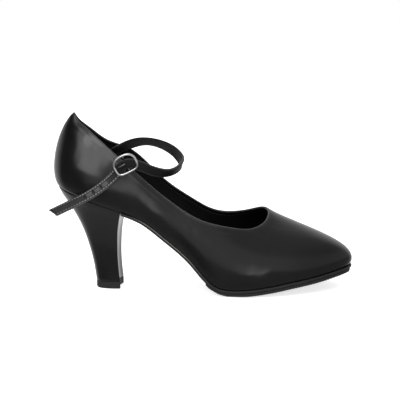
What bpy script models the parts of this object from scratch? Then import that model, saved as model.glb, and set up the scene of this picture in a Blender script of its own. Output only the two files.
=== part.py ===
"""Right-foot ankle-strap dance shoe with a covered heel, built as separate closed solids.

x runs from heel to toe, y to the inner side of the foot and z up from the floor.
The origin is the middle of the heel tip's underside. Lengths in the tables are millimetres.
"""
import math

import bpy
import numpy as np

MM = 0.001

# Driving sizes of the last
LENGTH = 223.0
BALL_WIDTH = 75.0
INSTEP = 42.0
HEEL_HEIGHT = 80.7
BACK_X = -37.5

# Thicknesses and clearances
GAP = 0.3
WALL = 1.8
INSOLE = 1.8
OUTSOLE = 1.7
SOLE_STACK = 4.9
FLAT_DEPTH = 0.3
EDGE_LIFT = 0.45
EDGE_SHARE = 0.05
TIP_HEIGHT = 5.6

# Plan of the sole pieces
BREAST_X = 12.0
HALF_SOLE_X = 76.5
SOLE_EDGE = 1.3
HALF_SOLE_EDGE = 0.9
FEATHER_DEPTH = 1.7
FEATHER_RUN = 17.0
TOE_INSET = 1.5
BREAST_HOLLOW = 1.6

# Strap and buckle
STRAP_WIDTH = 7.4
STRAP_THICK = 2.0
TAIL_SLANT = math.radians(33.0)
TAIL_LOOPS = 4
FRAME_CENTRE = (17.6, -29.3, 100.5)
FRAME_TURN = math.radians(26.0)
FRAME_LONG = 8.5
FRAME_SHORT = 6.55
FRAME_WIRE = 0.85
FRAME_SQUARE = 3.8
FRAME_ROUND = 2.35
BAR_WIRE = 0.55
BAR_SIDE = 4.9
BAR_BEND = 1.2
PRONG_WIRE = 0.75
TAB_THICK = 1.2
TAB_FROM = 9.0
TAB_TO = 17.0
TAB_LEVEL = 0.87

# Mesh density
RING_COUNT = 104
WALL_COUNT = 10
SOLE_COUNT = 46
SOLE_ACROSS = 4
HEEL_COUNT = 30
HEEL_LEVELS = 14
STRAP_COUNT = 56

# Bottom line of the last: share of LENGTH from the back, share of the heel height above the ball
BOTTOM_COLUMNS = ("along", "height")
BOTTOM_ROWS = (
    (0.000, 0.997),
    (0.071, 0.922),
    (0.146, 0.840),
    (0.226, 0.756),
    (0.289, 0.673),
    (0.370, 0.492),
    (0.457, 0.276),
    (0.478, 0.208),
    (0.504, 0.123),
    (0.534, 0.047),
    (0.568, 0.008),
    (0.603, 0.000),
    (0.639, 0.004),
    (0.731, 0.036),
    (0.795, 0.068),
    (0.878, 0.105),
    (0.943, 0.138),
    (1.000, 0.165),
)

# Sections of the upper from the back seam round the outer side, toe and inner side.
# along, side: foot of the wall as shares of LENGTH and of half BALL_WIDTH
# top_along, top_side, rise: topline in the same shares, and its height as a share of INSTEP
# low_out, low_up: pull of the wall at its foot, in mm outward and as a share of its height
# high_out, high_down: pull of the wall at the topline, in the same way
SECTION_COLUMNS = ("along", "side", "top_along", "top_side", "rise",
                   "low_out", "low_up", "high_out", "high_down")
SECTION_ROWS = (
    ("back", -0.006, 0.000, 0.054, 0.000, 1.324, 7.5, 0.20, 8.5, 0.18),
    ("outer_back", 0.008, -0.307, 0.065, -0.115, 1.235, 6.9, 0.22, 7.6, 0.20),
    ("outer_seat", 0.055, -0.533, 0.101, -0.256, 1.168, 5.4, 0.27, 6.2, 0.24),
    ("outer_heel", 0.132, -0.651, 0.157, -0.443, 1.085, 4.0, 0.33, 4.8, 0.31),
    ("outer_breast", 0.222, -0.661, 0.235, -0.608, 0.908, 2.6, 0.33, 2.6, 0.33),
    ("outer_shank", 0.339, -0.627, 0.343, -0.575, 0.738, 2.4, 0.33, 3.2, 0.33),
    ("outer_waist", 0.446, -0.733, 0.446, -0.662, 0.804, 2.5, 0.34, 3.0, 0.33),
    ("outer_joint", 0.536, -0.896, 0.525, -0.727, 1.097, 2.0, 0.36, 3.0, 0.31),
    ("outer_ball", 0.626, -0.987, 0.592, -0.693, 1.093, 1.8, 0.39, 4.4, 0.27),
    ("outer_toes", 0.731, -0.955, 0.650, -0.587, 0.986, 1.6, 0.42, 5.0, 0.24),
    ("outer_box", 0.856, -0.736, 0.692, -0.427, 0.916, 1.9, 0.45, 4.6, 0.25),
    ("outer_tip", 0.957, -0.357, 0.717, -0.213, 0.914, 6.0, 0.45, 3.0, 0.27),
    ("toe", 1.000, 0.080, 0.724, 0.027, 0.979, 11.0, 0.43, 1.0, 0.28),
    ("inner_tip", 0.960, 0.485, 0.714, 0.213, 1.060, 6.2, 0.44, 3.0, 0.29),
    ("inner_box", 0.869, 0.827, 0.688, 0.379, 1.126, 2.0, 0.45, 4.6, 0.27),
    ("inner_toes", 0.758, 0.987, 0.648, 0.549, 1.147, 1.8, 0.42, 5.0, 0.25),
    ("inner_ball", 0.657, 1.003, 0.594, 0.683, 1.163, 1.8, 0.39, 4.5, 0.26),
    ("inner_joint", 0.558, 0.864, 0.529, 0.741, 1.170, 2.0, 0.36, 3.4, 0.31),
    ("inner_waist", 0.460, 0.672, 0.448, 0.690, 0.944, 2.5, 0.34, 3.0, 0.33),
    ("inner_shank", 0.348, 0.549, 0.343, 0.620, 0.862, 2.4, 0.33, 3.0, 0.33),
    ("inner_breast", 0.231, 0.603, 0.235, 0.597, 1.018, 3.0, 0.33, 2.5, 0.33),
    ("inner_heel", 0.132, 0.635, 0.157, 0.437, 1.026, 4.0, 0.33, 4.8, 0.31),
    ("inner_seat", 0.055, 0.528, 0.101, 0.256, 1.130, 5.4, 0.27, 6.2, 0.24),
    ("inner_back", 0.008, 0.304, 0.065, 0.115, 1.230, 6.9, 0.22, 7.6, 0.20),
)

# Heel block from the tip up to the seat: back and breast in x, width as a share of the seat
HEEL_COLUMNS = ("level", "back", "breast", "width")
HEEL_ROWS = (
    (0.00, -11.2, 8.7, 0.440),
    (0.17, -12.9, 7.8, 0.455),
    (0.37, -16.3, 7.4, 0.490),
    (0.57, -21.3, 7.7, 0.565),
    (0.72, -26.8, 8.4, 0.660),
    (0.86, -33.2, 9.9, 0.800),
    (0.93, -36.4, 10.9, 0.900),
    (1.00, -38.8, 12.0, 1.000),
)

# Middle line of the strap: lean tips its upper edge outward, in degrees
STRAP_COLUMNS = ("x", "y", "z", "lean")
STRAP_ROWS = (
    (-6.0, 18.6, 98.1, -20.0),
    (0.5, 17.3, 101.9, -20.0),
    (6.0, 16.4, 105.1, -18.0),
    (13.0, 18.8, 108.1, 8.0),
    (25.5, 24.6, 110.3, 44.0),
    (43.0, 21.8, 106.5, 46.0),
    (54.6, 8.5, 99.8, 34.0),
    (56.6, -7.5, 95.4, 20.0),
    (47.8, -21.6, 92.3, 34.0),
    (38.0, -27.2, 94.7, 10.0),
    (27.5, -29.2, 99.1, 0.0),
    (17.6, -29.3, 100.2, 0.0),
    (9.8, -29.4, 92.9, -5.0),
    (3.3, -30.0, 86.5, -18.0),
    (-5.6, -30.5, 79.9, -26.0),
    (-15.8, -30.8, 74.1, -28.0),
    (-26.1, -31.0, 69.2, -28.0),
    (-40.4, -31.2, 62.5, -28.0),
)

MATERIALS = {
    "satin_leather": ((0.012, 0.012, 0.013, 1.0), 0.42, 0.0),
    "strap_leather": ((0.014, 0.014, 0.014, 1.0), 0.38, 0.0),
    "lining": ((0.006, 0.006, 0.006, 1.0), 0.80, 0.0),
    "sole_leather": ((0.012, 0.012, 0.012, 1.0), 0.55, 0.0),
    "rubber": ((0.016, 0.016, 0.016, 1.0), 0.85, 0.0),
    "chrome": ((0.80, 0.80, 0.82, 1.0), 0.12, 1.0),
}


def column(columns, rows, name):
    """One named column of a table as an array."""
    return np.array([row[columns.index(name)] for row in rows], float)


def even_line(knots, values, at):
    """Cubic line through a table that never swings past its rows."""
    step = np.diff(knots)
    slope = np.diff(values) / step
    before, after = slope[:-1], slope[1:]
    weight_a = 2.0 * step[1:] + step[:-1]
    weight_b = step[1:] + 2.0 * step[:-1]
    same_way = before * after > 0.0
    safe_before = np.where(same_way, before, 1.0)
    safe_after = np.where(same_way, after, 1.0)
    mean = (weight_a + weight_b) / (weight_a / safe_before + weight_b / safe_after)
    inside = np.where(same_way, mean, 0.0)
    tangent = np.concatenate([slope[:1], inside, slope[-1:]])
    cell = np.clip(np.searchsorted(knots, at) - 1, 0, len(step) - 1)
    share = (np.clip(at, knots[0], knots[-1]) - knots[cell]) / step[cell]
    rise = values[cell + 1] - values[cell]
    left = tangent[cell] * step[cell]
    right = tangent[cell + 1] * step[cell]
    return values[cell] + share * left + share ** 2 * (3 * rise - 2 * left - right) \
        + share ** 3 * (left + right - 2 * rise)


def ring_line(knots, period, values, at):
    """Closed cubic spline with equal slope and curvature on both sides of every row."""
    count = len(knots)
    step = np.diff(np.append(knots, knots[0] + period))
    ahead = np.roll(values, -1, axis=0)
    slope = (ahead - values) / step[:, None]
    system = np.zeros((count, count))
    for row in range(count):
        system[row, row - 1] += step[row - 1]
        system[row, row] += 2.0 * (step[row - 1] + step[row])
        system[row, (row + 1) % count] += step[row]
    bend = np.linalg.solve(system, 6.0 * (slope - np.roll(slope, 1, axis=0)))
    at = np.mod(at - knots[0], period) + knots[0]
    cell = np.clip(np.searchsorted(knots, at, side="right") - 1, 0, count - 1)
    following = (cell + 1) % count
    span = step[cell][:, None]
    local = (at - knots[cell])[:, None]
    tangent = slope[cell] - span * (2.0 * bend[cell] + bend[following]) / 6.0
    return values[cell] + tangent * local + bend[cell] * local ** 2 / 2.0 \
        + (bend[following] - bend[cell]) * local ** 3 / (6.0 * span)


def open_line(values, at):
    """Open cubic spline through rows spaced by their distance, at shares of its length."""
    length = np.linalg.norm(np.diff(values[:, :3], axis=0), axis=1)
    knots = np.concatenate([[0.0], np.cumsum(length)])
    count = len(knots)
    system = np.eye(count)
    pull = np.zeros_like(values)
    slope = np.diff(values, axis=0) / length[:, None]
    for row in range(1, count - 1):
        system[row, row - 1] = length[row - 1]
        system[row, row] = 2.0 * (length[row - 1] + length[row])
        system[row, row + 1] = length[row]
        pull[row] = 6.0 * (slope[row] - slope[row - 1])
    bend = np.linalg.solve(system, pull)
    at = at * knots[-1]
    cell = np.clip(np.searchsorted(knots, at, side="right") - 1, 0, count - 2)
    span = length[cell][:, None]
    local = (at - knots[cell])[:, None]
    tangent = slope[cell] - span * (2.0 * bend[cell] + bend[cell + 1]) / 6.0
    return values[cell] + tangent * local + bend[cell] * local ** 2 / 2.0 \
        + (bend[cell + 1] - bend[cell]) * local ** 3 / (6.0 * span)


def bottom(x):
    """Height of the last's bottom line at x."""
    along = column(BOTTOM_COLUMNS, BOTTOM_ROWS, "along")
    height = column(BOTTOM_COLUMNS, BOTTOM_ROWS, "height")
    share = even_line(along, height, (np.asarray(x, float) - BACK_X) / LENGTH)
    return SOLE_STACK + (HEEL_HEIGHT - SOLE_STACK) * share


def below(x, depth):
    """Height of a face that lies a depth under the bottom line, measured square to it."""
    slope = (bottom(x + 0.5) - bottom(x - 0.5)) / 1.0
    return bottom(x) - depth * np.sqrt(1.0 + slope ** 2)


def unit(vectors):
    """Vectors scaled to length one."""
    return vectors / np.linalg.norm(vectors, axis=-1, keepdims=True)


class Last:
    """The upper's outer face: a wall curve from the foot line to the topline at each place round."""

    def __init__(self):
        table = np.array([row[1:] for row in SECTION_ROWS], float)
        name = SECTION_COLUMNS.index
        half = BALL_WIDTH / 2.0
        foot_x = BACK_X + LENGTH * table[:, name("along")]
        foot_y = half * table[:, name("side")]
        foot = np.stack([foot_x, foot_y, bottom(foot_x)], axis=1)
        top_x = BACK_X + LENGTH * table[:, name("top_along")]
        top_y = half * table[:, name("top_side")]
        top_z = foot[:, 2] + INSTEP * table[:, name("rise")]
        top = np.stack([top_x, top_y, top_z], axis=1)
        pulls = table[:, name("low_out"):]
        foot_step = np.linalg.norm(np.roll(foot, -1, axis=0) - foot, axis=1)
        top_step = np.linalg.norm(np.roll(top, -1, axis=0) - top, axis=1)
        step = 0.5 * (foot_step + top_step)
        self.knots = np.concatenate([[0.0], np.cumsum(step)[:-1]])
        self.period = float(step.sum())
        self.rows = np.concatenate([foot[:, :2], top, pulls], axis=1)
        names = [row[0] for row in SECTION_ROWS]
        self.toe = float(self.knots[names.index("toe")])

    def foot(self, place):
        """Foot line at places round the ring, with its outward direction in plan."""
        ring = ring_line(self.knots, self.period, self.rows, place)
        nudge = 0.01
        after = ring_line(self.knots, self.period, self.rows, place + nudge)
        run = unit((after - ring)[:, :2])
        outward = np.stack([run[:, 1], -run[:, 0]], axis=1)
        return ring[:, :2], outward, ring

    def wall(self, place, level):
        """Points of the wall: rows follow level from the foot, columns follow the ring."""
        plan, outward, ring = self.foot(place)
        foot = np.concatenate([plan, bottom(plan[:, 0])[:, None]], axis=1)
        top = ring[:, 2:5]
        low_out, low_up, high_out, high_down = ring[:, 5:].T
        height = top[:, 2] - foot[:, 2]
        low = foot.copy()
        low[:, :2] += outward * low_out[:, None]
        low[:, 2] += height * low_up
        high = top.copy()
        high[:, :2] += (plan - top[:, :2]) / 3.0 + outward * high_out[:, None]
        high[:, 2] -= height * high_down
        u = np.asarray(level, float)[:, None, None]
        v = 1.0 - u
        return v ** 3 * foot + 3 * v * v * u * low + 3 * v * u * u * high + u ** 3 * top

    def normal(self, place, level):
        """Outward unit normal of the wall, from small steps round and up."""
        nudge = 0.02
        level = np.asarray(level, float)
        round_step = self.wall(place + nudge, level) - self.wall(place - nudge, level)
        up_step = self.wall(place, level + 0.002) - self.wall(place, level - 0.002)
        return unit(np.cross(round_step, up_step))

    def place_at(self, x, side):
        """Place on the ring where the foot line passes x on the outer (-1) or inner (+1) side."""
        if side < 0:
            places = np.linspace(0.0, self.toe, 800)
        else:
            places = np.linspace(self.period, self.toe, 800)
        found = self.foot(places)[0][:, 0]
        return float(np.interp(x, found, places))


LAST = Last()


def add_solid(name, points, faces, material):
    """One closed mesh object in metres whose faces point outwards."""
    points = np.asarray(points, float) * MM
    total = 0.0
    for face in faces:
        first = points[face[0]]
        for k in range(1, len(face) - 1):
            total += float(np.dot(first, np.cross(points[face[k]], points[face[k + 1]])))
    if total < 0.0:
        faces = [tuple(reversed(face)) for face in faces]
    mesh = bpy.data.meshes.new(name)
    mesh.from_pydata([tuple(p) for p in points], [], [tuple(face) for face in faces])
    mesh.materials.append(bpy.data.materials[material])
    mesh.update()
    solid = bpy.data.objects.new(name, mesh)
    bpy.context.scene.collection.objects.link(solid)
    return solid


def grid_faces(rows, columns, first, closed):
    """Quads of a grid of points stored row by row."""
    faces = []
    last = columns if closed else columns - 1
    for row in range(rows - 1):
        for col in range(last):
            a = first + row * columns + col
            b = first + row * columns + (col + 1) % columns
            faces.append((a, b, b + columns, a + columns))
    return faces


def loop_solid(name, loops, material, close_ends=True):
    """Solid of equal closed loops, with flat ends or with the last loop joined to the first."""
    loops = np.asarray(loops, float)
    rows, columns = loops.shape[:2]
    points = loops.reshape(-1, 3)
    faces = grid_faces(rows, columns, 0, True)
    if close_ends:
        faces.append(tuple(range(columns))[::-1])
        faces.append(tuple(range((rows - 1) * columns, rows * columns)))
    else:
        base = (rows - 1) * columns
        for col in range(columns):
            after = (col + 1) % columns
            faces.append((base + col, base + after, after, col))
    return add_solid(name, points, faces, material)


def sheet_solid(name, top, under, material):
    """Solid between two grids of the same size, closed all round their edges."""
    top = np.asarray(top, float)
    rows, columns = top.shape[:2]
    count = rows * columns
    points = np.concatenate([top.reshape(-1, 3), np.asarray(under, float).reshape(-1, 3)])
    faces = grid_faces(rows, columns, 0, False)
    faces += [tuple(reversed(face)) for face in grid_faces(rows, columns, count, False)]
    edge = [col for col in range(columns)]
    edge += [row * columns + columns - 1 for row in range(1, rows)]
    edge += [(rows - 1) * columns + col for col in range(columns - 2, -1, -1)]
    edge += [row * columns for row in range(rows - 2, 0, -1)]
    for here, after in zip(edge, edge[1:] + edge[:1]):
        faces.append((after, here, here + count, after + count))
    return add_solid(name, points, faces, material)


def tube(path, radius, sides):
    """Round loops along a path."""
    run = unit(np.gradient(path, axis=0))
    guide = np.array([0.0, 1.0, 0.0])
    across = unit(np.cross(run, guide))
    other = np.cross(across, run)
    angle = np.arange(sides) * 2.0 * math.pi / sides
    ring = across[:, None] * np.cos(angle)[None, :, None]
    ring = ring + other[:, None] * np.sin(angle)[None, :, None]
    return path[:, None] + radius * ring


def make_upper():
    """Hollow leather wall of even thickness, open at the collar and underneath."""
    place = np.arange(RING_COUNT) * LAST.period / RING_COUNT
    level = np.linspace(0.0, 1.0, WALL_COUNT)
    outer = LAST.wall(place, level)
    inner = outer - WALL * LAST.normal(place, level)
    plan, outward, _ = LAST.foot(place)
    inner[0, :, :2] = plan - WALL * outward
    inner[0, :, 2] = bottom(inner[0, :, 0])
    fold = 0.5 * (outer[-1] + inner[-1]) + 0.3 * WALL * unit(outer[-1] - outer[-2])
    loops = np.concatenate([outer, fold[None], inner[::-1]])
    return loop_solid("upper", loops, "satin_leather", close_ends=False)


def sole_edges(start_outer, start_inner, offset, count):
    """Plan points of both edges from a start place to the toe, moved outward by offset."""
    tip = 2.6
    outer_place = np.linspace(start_outer, LAST.toe - tip, count)
    inner_place = np.linspace(start_inner, LAST.toe + tip, count)
    outer_plan, outer_out, _ = LAST.foot(outer_place)
    inner_plan, inner_out, _ = LAST.foot(inner_place)
    return outer_plan + offset * outer_out, inner_plan + offset * inner_out


def plan_grid(outer, inner, height):
    """Grid across the sole from edge to edge, at the height that a function of x gives."""
    share = np.array([0.0, EDGE_SHARE, 0.5, 1.0 - EDGE_SHARE, 1.0])[None, :, None]
    plan = outer[:, None] * (1.0 - share) + inner[:, None] * share
    return np.concatenate([plan, height(plan[..., 0])[..., None]], axis=2)


def make_insole():
    """Sock-covered insole board that lies inside the wall, on the sole and the heel seat."""
    inset = -(WALL + 2.0 * GAP)
    outer, inner = sole_edges(2.6, LAST.period - 2.6, inset, SOLE_COUNT + 14)
    top = plan_grid(outer, inner, lambda x: below(x, -INSOLE))
    under = plan_grid(outer, inner, bottom)
    return sheet_solid("insole", top, under, "lining")


def make_outsole():
    """Thin sole from the heel breast through the arch to the toe."""
    start = BREAST_X + GAP
    outer, inner = sole_edges(LAST.place_at(start, -1), LAST.place_at(start, 1), SOLE_EDGE,
                              SOLE_COUNT)
    outer[0, 0] = start
    inner[0, 0] = start
    top = plan_grid(outer, inner, lambda x: below(x, GAP))
    under = plan_grid(outer, inner, lambda x: below(x, GAP + OUTSOLE))
    return sheet_solid("outsole", top, under, "sole_leather")


def tread_height(x):
    """Underside of the half sole: on the floor at the ball, thinned to its back end, lifted at the toe."""
    thin = FEATHER_DEPTH * np.clip(1.0 - (x - HALF_SOLE_X) / FEATHER_RUN, 0.0, 1.0)
    return np.maximum(0.0, below(x, SOLE_STACK + FLAT_DEPTH - thin))


def make_half_sole():
    """Rubber forefoot sole with a straight step at its back end and a flat spot at the ball."""
    edge = HALF_SOLE_EDGE - TOE_INSET * np.linspace(0.0, 1.0, SOLE_COUNT)[:, None] ** 6
    outer, inner = sole_edges(LAST.place_at(HALF_SOLE_X, -1), LAST.place_at(HALF_SOLE_X, 1),
                              edge, SOLE_COUNT)
    outer[0, 0] = HALF_SOLE_X
    inner[0, 0] = HALF_SOLE_X
    top = plan_grid(outer, inner, lambda x: below(x, 2.0 * GAP + OUTSOLE))
    under = plan_grid(outer, inner, tread_height)
    under[:, [0, -1], 2] += EDGE_LIFT
    return sheet_solid("half_sole", top, under, "rubber")


def heel_plan(back, breast, width, seat):
    """The seat's outline fitted between back and breast, with the hollow breast closing it."""
    seat_back = seat[:, 0].min()
    depth = (BREAST_X - seat[:, 0]) / (BREAST_X - seat_back)
    side = np.stack([breast - (breast - back) * depth, seat[:, 1] * width], axis=1)
    share = np.linspace(0.0, 1.0, SOLE_ACROSS + 2)[1:-1, None]
    face = side[-1] * (1.0 - share) + side[0] * share
    face[:, 0] -= BREAST_HOLLOW * np.sin(math.pi * share[:, 0]) * (1.0 - width) / 0.56
    return np.concatenate([side, face])


def heel_table(level):
    """Back, breast and width of the heel block at a share of its height."""
    knots = column(HEEL_COLUMNS, HEEL_ROWS, "level")
    wanted = np.array([level])
    return [float(even_line(knots, column(HEEL_COLUMNS, HEEL_ROWS, name), wanted)[0])
            for name in HEEL_COLUMNS[1:]]


def seat_outline():
    """Foot line of the upper round the heel seat, from outer breast to inner breast."""
    first = LAST.place_at(BREAST_X, -1)
    last = LAST.place_at(BREAST_X, 1) - LAST.period
    plan = LAST.foot(np.linspace(first, last, HEEL_COUNT))[0]
    plan[[0, -1], 0] = BREAST_X
    return plan


def make_heel():
    """Covered heel block: seat outline narrowing to the tip, curved back and hollow breast."""
    seat = seat_outline()
    seat_plan = heel_plan(*heel_table(1.0), seat)
    seat_z = below(seat_plan[:, 0], GAP)
    foot_z = TIP_HEIGHT + GAP
    loops = []
    for level in np.linspace(0.0, 1.0, HEEL_LEVELS):
        plan = heel_plan(*heel_table(level), seat)
        height = foot_z + (seat_z - foot_z) * level
        loops.append(np.concatenate([plan, height[:, None]], axis=1))
    loops = np.array(loops)
    rows, columns = loops.shape[:2]
    points = loops.reshape(-1, 3)
    faces = grid_faces(rows, columns, 0, True)
    faces.append(tuple(range(columns))[::-1])
    top = (rows - 1) * columns
    ring = [top + k for k in range(columns)]
    half = HEEL_COUNT // 2
    outer = ring[:half]
    inner = ring[HEEL_COUNT - 1:half - 1:-1]
    for k in range(half - 1):
        faces.append((outer[k], outer[k + 1], inner[k + 1], inner[k]))
    faces.append(tuple([outer[0], inner[0]] + ring[HEEL_COUNT:]))
    return add_solid("heel", points, faces, "satin_leather")


def make_heel_tip():
    """Rubber top piece under the heel, flat on the floor."""
    plan = heel_plan(*heel_table(0.0), seat_outline())
    middle = np.array([[-1.0, 0.0]])
    loops = []
    for height, size in ((0.0, 0.975), (0.5, 1.0), (TIP_HEIGHT, 1.0)):
        ring = middle + (plan - middle) * size
        loops.append(np.concatenate([ring, np.full((len(ring), 1), height)], axis=1))
    return loop_solid("heel_tip", loops, "rubber")


def strap_frames(count):
    """Middle line of the strap with its outward and upward directions."""
    rows = np.array(STRAP_ROWS, float)
    line = open_line(rows, np.linspace(0.0, 1.0, count))
    path = line[:, :3]
    run = unit(np.gradient(path, axis=0))
    outward = unit(np.cross(np.array([0.0, 0.0, 1.0]), run))
    upward = np.cross(run, outward)
    upward = upward * np.sign(upward[:, 2:3])
    lean = np.radians(line[:, 3:4])
    face = outward * np.cos(lean) - upward * np.sin(lean)
    edge = upward * np.cos(lean) + outward * np.sin(lean)
    return path, face, edge


def make_strap():
    """Flat ankle strap from the inner quarter round the instep and through the buckle to a slanted tail."""
    path, face, edge = strap_frames(STRAP_COUNT)
    half_w, half_t, bevel = STRAP_WIDTH / 2.0, STRAP_THICK / 2.0, 0.5
    profile = ((half_t, -half_w + bevel), (half_t, half_w - bevel),
               (half_t - bevel, half_w), (-half_t + bevel, half_w),
               (-half_t, half_w - bevel), (-half_t, -half_w + bevel),
               (-half_t + bevel, -half_w), (half_t - bevel, -half_w))
    loops = np.stack([path + face * out + edge * up for out, up in profile], axis=1)
    run = unit(path[-1] - path[-2])
    short = math.tan(TAIL_SLANT) * np.array([half_w - up for _, up in profile])
    for k in range(1, TAIL_LOOPS + 1):
        share = 1.0 - (k - 1) / TAIL_LOOPS
        loops[-k] -= share * short[:, None] * run
    return loop_solid("strap", loops, "strap_leather")


def buckle_point(long, short, out):
    """Point of the buckle from its own axes: along the strap, across it and out from the quarter."""
    x0, y0, z0 = FRAME_CENTRE
    c, s = math.cos(FRAME_TURN), math.sin(FRAME_TURN)
    return np.stack([x0 + long * c - short * s, y0 - out, z0 + long * s + short * c], axis=-1)


def make_buckle_frame():
    """Flat wire frame, straighter along its lower side, that lies over the strap at both ends."""
    angle = np.arange(44) * 2.0 * math.pi / 44
    power = np.where(np.sin(angle) < 0.0, 2.0 / FRAME_SQUARE, 2.0 / FRAME_ROUND)
    cos, sin = np.cos(angle), np.sin(angle)
    long = FRAME_LONG * np.sign(cos) * np.abs(cos) ** power
    short = FRAME_SHORT * np.sign(sin) * np.abs(sin) ** power
    out = np.full(len(angle), STRAP_THICK / 2.0 + GAP + FRAME_WIRE)
    path = buckle_point(long, short, out)
    before = np.roll(path, 1, axis=0)
    after = np.roll(path, -1, axis=0)
    run = unit(after - before)
    across = unit(np.cross(run, np.array([0.0, 1.0, 0.0])))
    other = np.cross(across, run)
    turn = np.arange(8) * math.pi / 4.0
    ring = across[:, None] * np.cos(turn)[None, :, None]
    ring = ring + other[:, None] * np.sin(turn)[None, :, None]
    loops = path[:, None] + FRAME_WIRE * ring
    return loop_solid("buckle_frame", loops, "chrome", close_ends=False)


def make_buckle_bar():
    """Axle of the prong: a staple behind the strap whose legs come up inside the frame's sides."""
    front = STRAP_THICK / 2.0 + GAP + FRAME_WIRE
    behind = -(STRAP_THICK / 2.0 + GAP + BAR_WIRE)
    turn = np.linspace(0.0, math.pi / 2.0, 5)
    corner_short = BAR_SIDE - BAR_BEND * (1.0 - np.cos(turn))
    corner_out = behind + BAR_BEND * (1.0 - np.sin(turn))
    half_short = np.concatenate([[BAR_SIDE], corner_short])
    half_out = np.concatenate([[front], corner_out])
    short = np.concatenate([half_short, -half_short[::-1]])
    out = np.concatenate([half_out, half_out[::-1]])
    run = np.stack([np.gradient(short), np.gradient(out)], axis=1)
    run = unit(run)
    angle = np.arange(8) * math.pi / 4.0
    side = BAR_WIRE * np.cos(angle)
    off = BAR_WIRE * np.sin(angle)
    loops = buckle_point(side[None, :] + np.zeros((len(short), 1)),
                         short[:, None] - run[:, 1:] * off[None, :],
                         out[:, None] + run[:, :1] * off[None, :])
    return loop_solid("buckle_bar", loops, "chrome")


def make_buckle_prong():
    """Prong that comes through the strap and lies along it to the back end of the frame."""
    long = np.linspace(0.6, -(FRAME_LONG - FRAME_WIRE - GAP), 9)
    rest = STRAP_THICK / 2.0 + GAP + PRONG_WIRE
    out = rest + 0.5 * np.sin(np.linspace(0.0, math.pi, 9))
    path = buckle_point(long, np.zeros(9), out)
    return loop_solid("buckle_prong", tube(path, PRONG_WIRE, 8), "chrome")


def make_buckle_tab():
    """Leather tab on the outer quarter that holds the buckle, cut from the wall's own face."""
    low = LAST.place_at(TAB_FROM, -1)
    high = LAST.place_at(TAB_TO, -1)
    place = np.linspace(low, high, 8)
    level = np.linspace(TAB_LEVEL, 0.985, 5)
    face = LAST.wall(place, level)
    normal = LAST.normal(place, level)
    return sheet_solid("buckle_tab", face + normal * (GAP + TAB_THICK), face + normal * GAP,
                       "strap_leather")


def make_materials():
    """One Principled material for each finish."""
    for name, (colour, roughness, metallic) in MATERIALS.items():
        material = bpy.data.materials.new(name)
        material.use_nodes = True
        shader = material.node_tree.nodes["Principled BSDF"]
        shader.inputs["Base Color"].default_value = colour
        shader.inputs["Roughness"].default_value = roughness
        shader.inputs["Metallic"].default_value = metallic


def main():
    """Clear the scene and build every piece of the shoe."""
    for thing in list(bpy.data.objects):
        bpy.data.objects.remove(thing, do_unlink=True)
    make_materials()
    make_upper()
    make_insole()
    make_outsole()
    make_half_sole()
    make_heel()
    make_heel_tip()
    make_strap()
    make_buckle_frame()
    make_buckle_bar()
    make_buckle_prong()
    make_buckle_tab()


main()
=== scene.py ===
"""Looks of the right-foot ankle-strap dance shoe, laid out as a Blender add-on and run as a script.

x runs from heel to toe, y to the inner side of the foot and z up from the floor.
Lengths in tables and surface functions are millimetres, and meshes are metres.
"""
import math

import bpy
import numpy as np
from bpy.props import FloatProperty, FloatVectorProperty, PointerProperty
from mathutils import Matrix, Quaternion, Vector


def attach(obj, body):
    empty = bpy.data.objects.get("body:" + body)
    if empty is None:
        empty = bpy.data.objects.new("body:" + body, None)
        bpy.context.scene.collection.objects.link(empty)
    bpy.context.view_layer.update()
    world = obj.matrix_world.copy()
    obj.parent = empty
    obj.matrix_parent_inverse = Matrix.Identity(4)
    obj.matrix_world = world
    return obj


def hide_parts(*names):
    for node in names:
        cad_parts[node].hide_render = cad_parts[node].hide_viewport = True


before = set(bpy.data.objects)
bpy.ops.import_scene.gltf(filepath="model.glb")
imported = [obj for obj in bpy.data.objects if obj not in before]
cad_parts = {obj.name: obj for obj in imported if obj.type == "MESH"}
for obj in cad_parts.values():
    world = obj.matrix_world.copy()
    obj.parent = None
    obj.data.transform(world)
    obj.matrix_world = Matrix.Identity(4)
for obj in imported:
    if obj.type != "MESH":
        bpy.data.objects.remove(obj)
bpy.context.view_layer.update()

bl_info = {
    "name": "Ankle strap dance shoe",
    "version": (1, 0, 0),
    "blender": (4, 5, 0),
    "location": "View3D > Sidebar > Dance shoe",
    "description": "Builds the leather, soles, heel, strap and buckle of a dance shoe on its frame",
    "category": "Object",
}

MM = 0.001

# Driving sizes of the last
LENGTH = 223.0
BALL_WIDTH = 75.0
INSTEP = 42.0
HEEL_HEIGHT = 80.7
BACK_X = -37.5

# Thicknesses and clearances
GAP = 0.3
WALL = 1.8
LEATHER = 1.25
INSOLE = 1.8
OUTSOLE = 1.7
SOLE_STACK = 4.9
FLAT_DEPTH = 0.3
EDGE_LIFT = 0.45
EDGE_SHARE = 0.05
TIP_HEIGHT = 5.6

# Plan of the sole pieces
BREAST_X = 12.0
HALF_SOLE_X = 76.5
SOLE_EDGE = 1.3
HALF_SOLE_EDGE = 0.9
FEATHER_DEPTH = 1.7
FEATHER_RUN = 17.0
TOE_INSET = 1.5
BREAST_HOLLOW = 1.6
TOE_TIP = 0.25

# Strap and buckle
STRAP_WIDTH = 7.4
STRAP_THICK = 2.0
TAIL_SLANT = math.radians(33.0)
TAIL_REACH = 17.0
FRAME_CENTRE = (17.6, -29.3, 100.5)
FRAME_TURN = math.radians(26.0)
FRAME_LONG = 8.5
FRAME_SHORT = 6.55
FRAME_WIRE = 0.85
FRAME_SQUARE = 3.8
FRAME_ROUND = 2.35
BAR_WIRE = 0.55
BAR_SIDE = 4.9
BAR_BEND = 1.2
PRONG_WIRE = 0.75
TAB_THICK = 1.2
TAB_FROM = 9.0
TAB_TO = 17.0
TAB_LEVEL = 0.87

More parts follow.
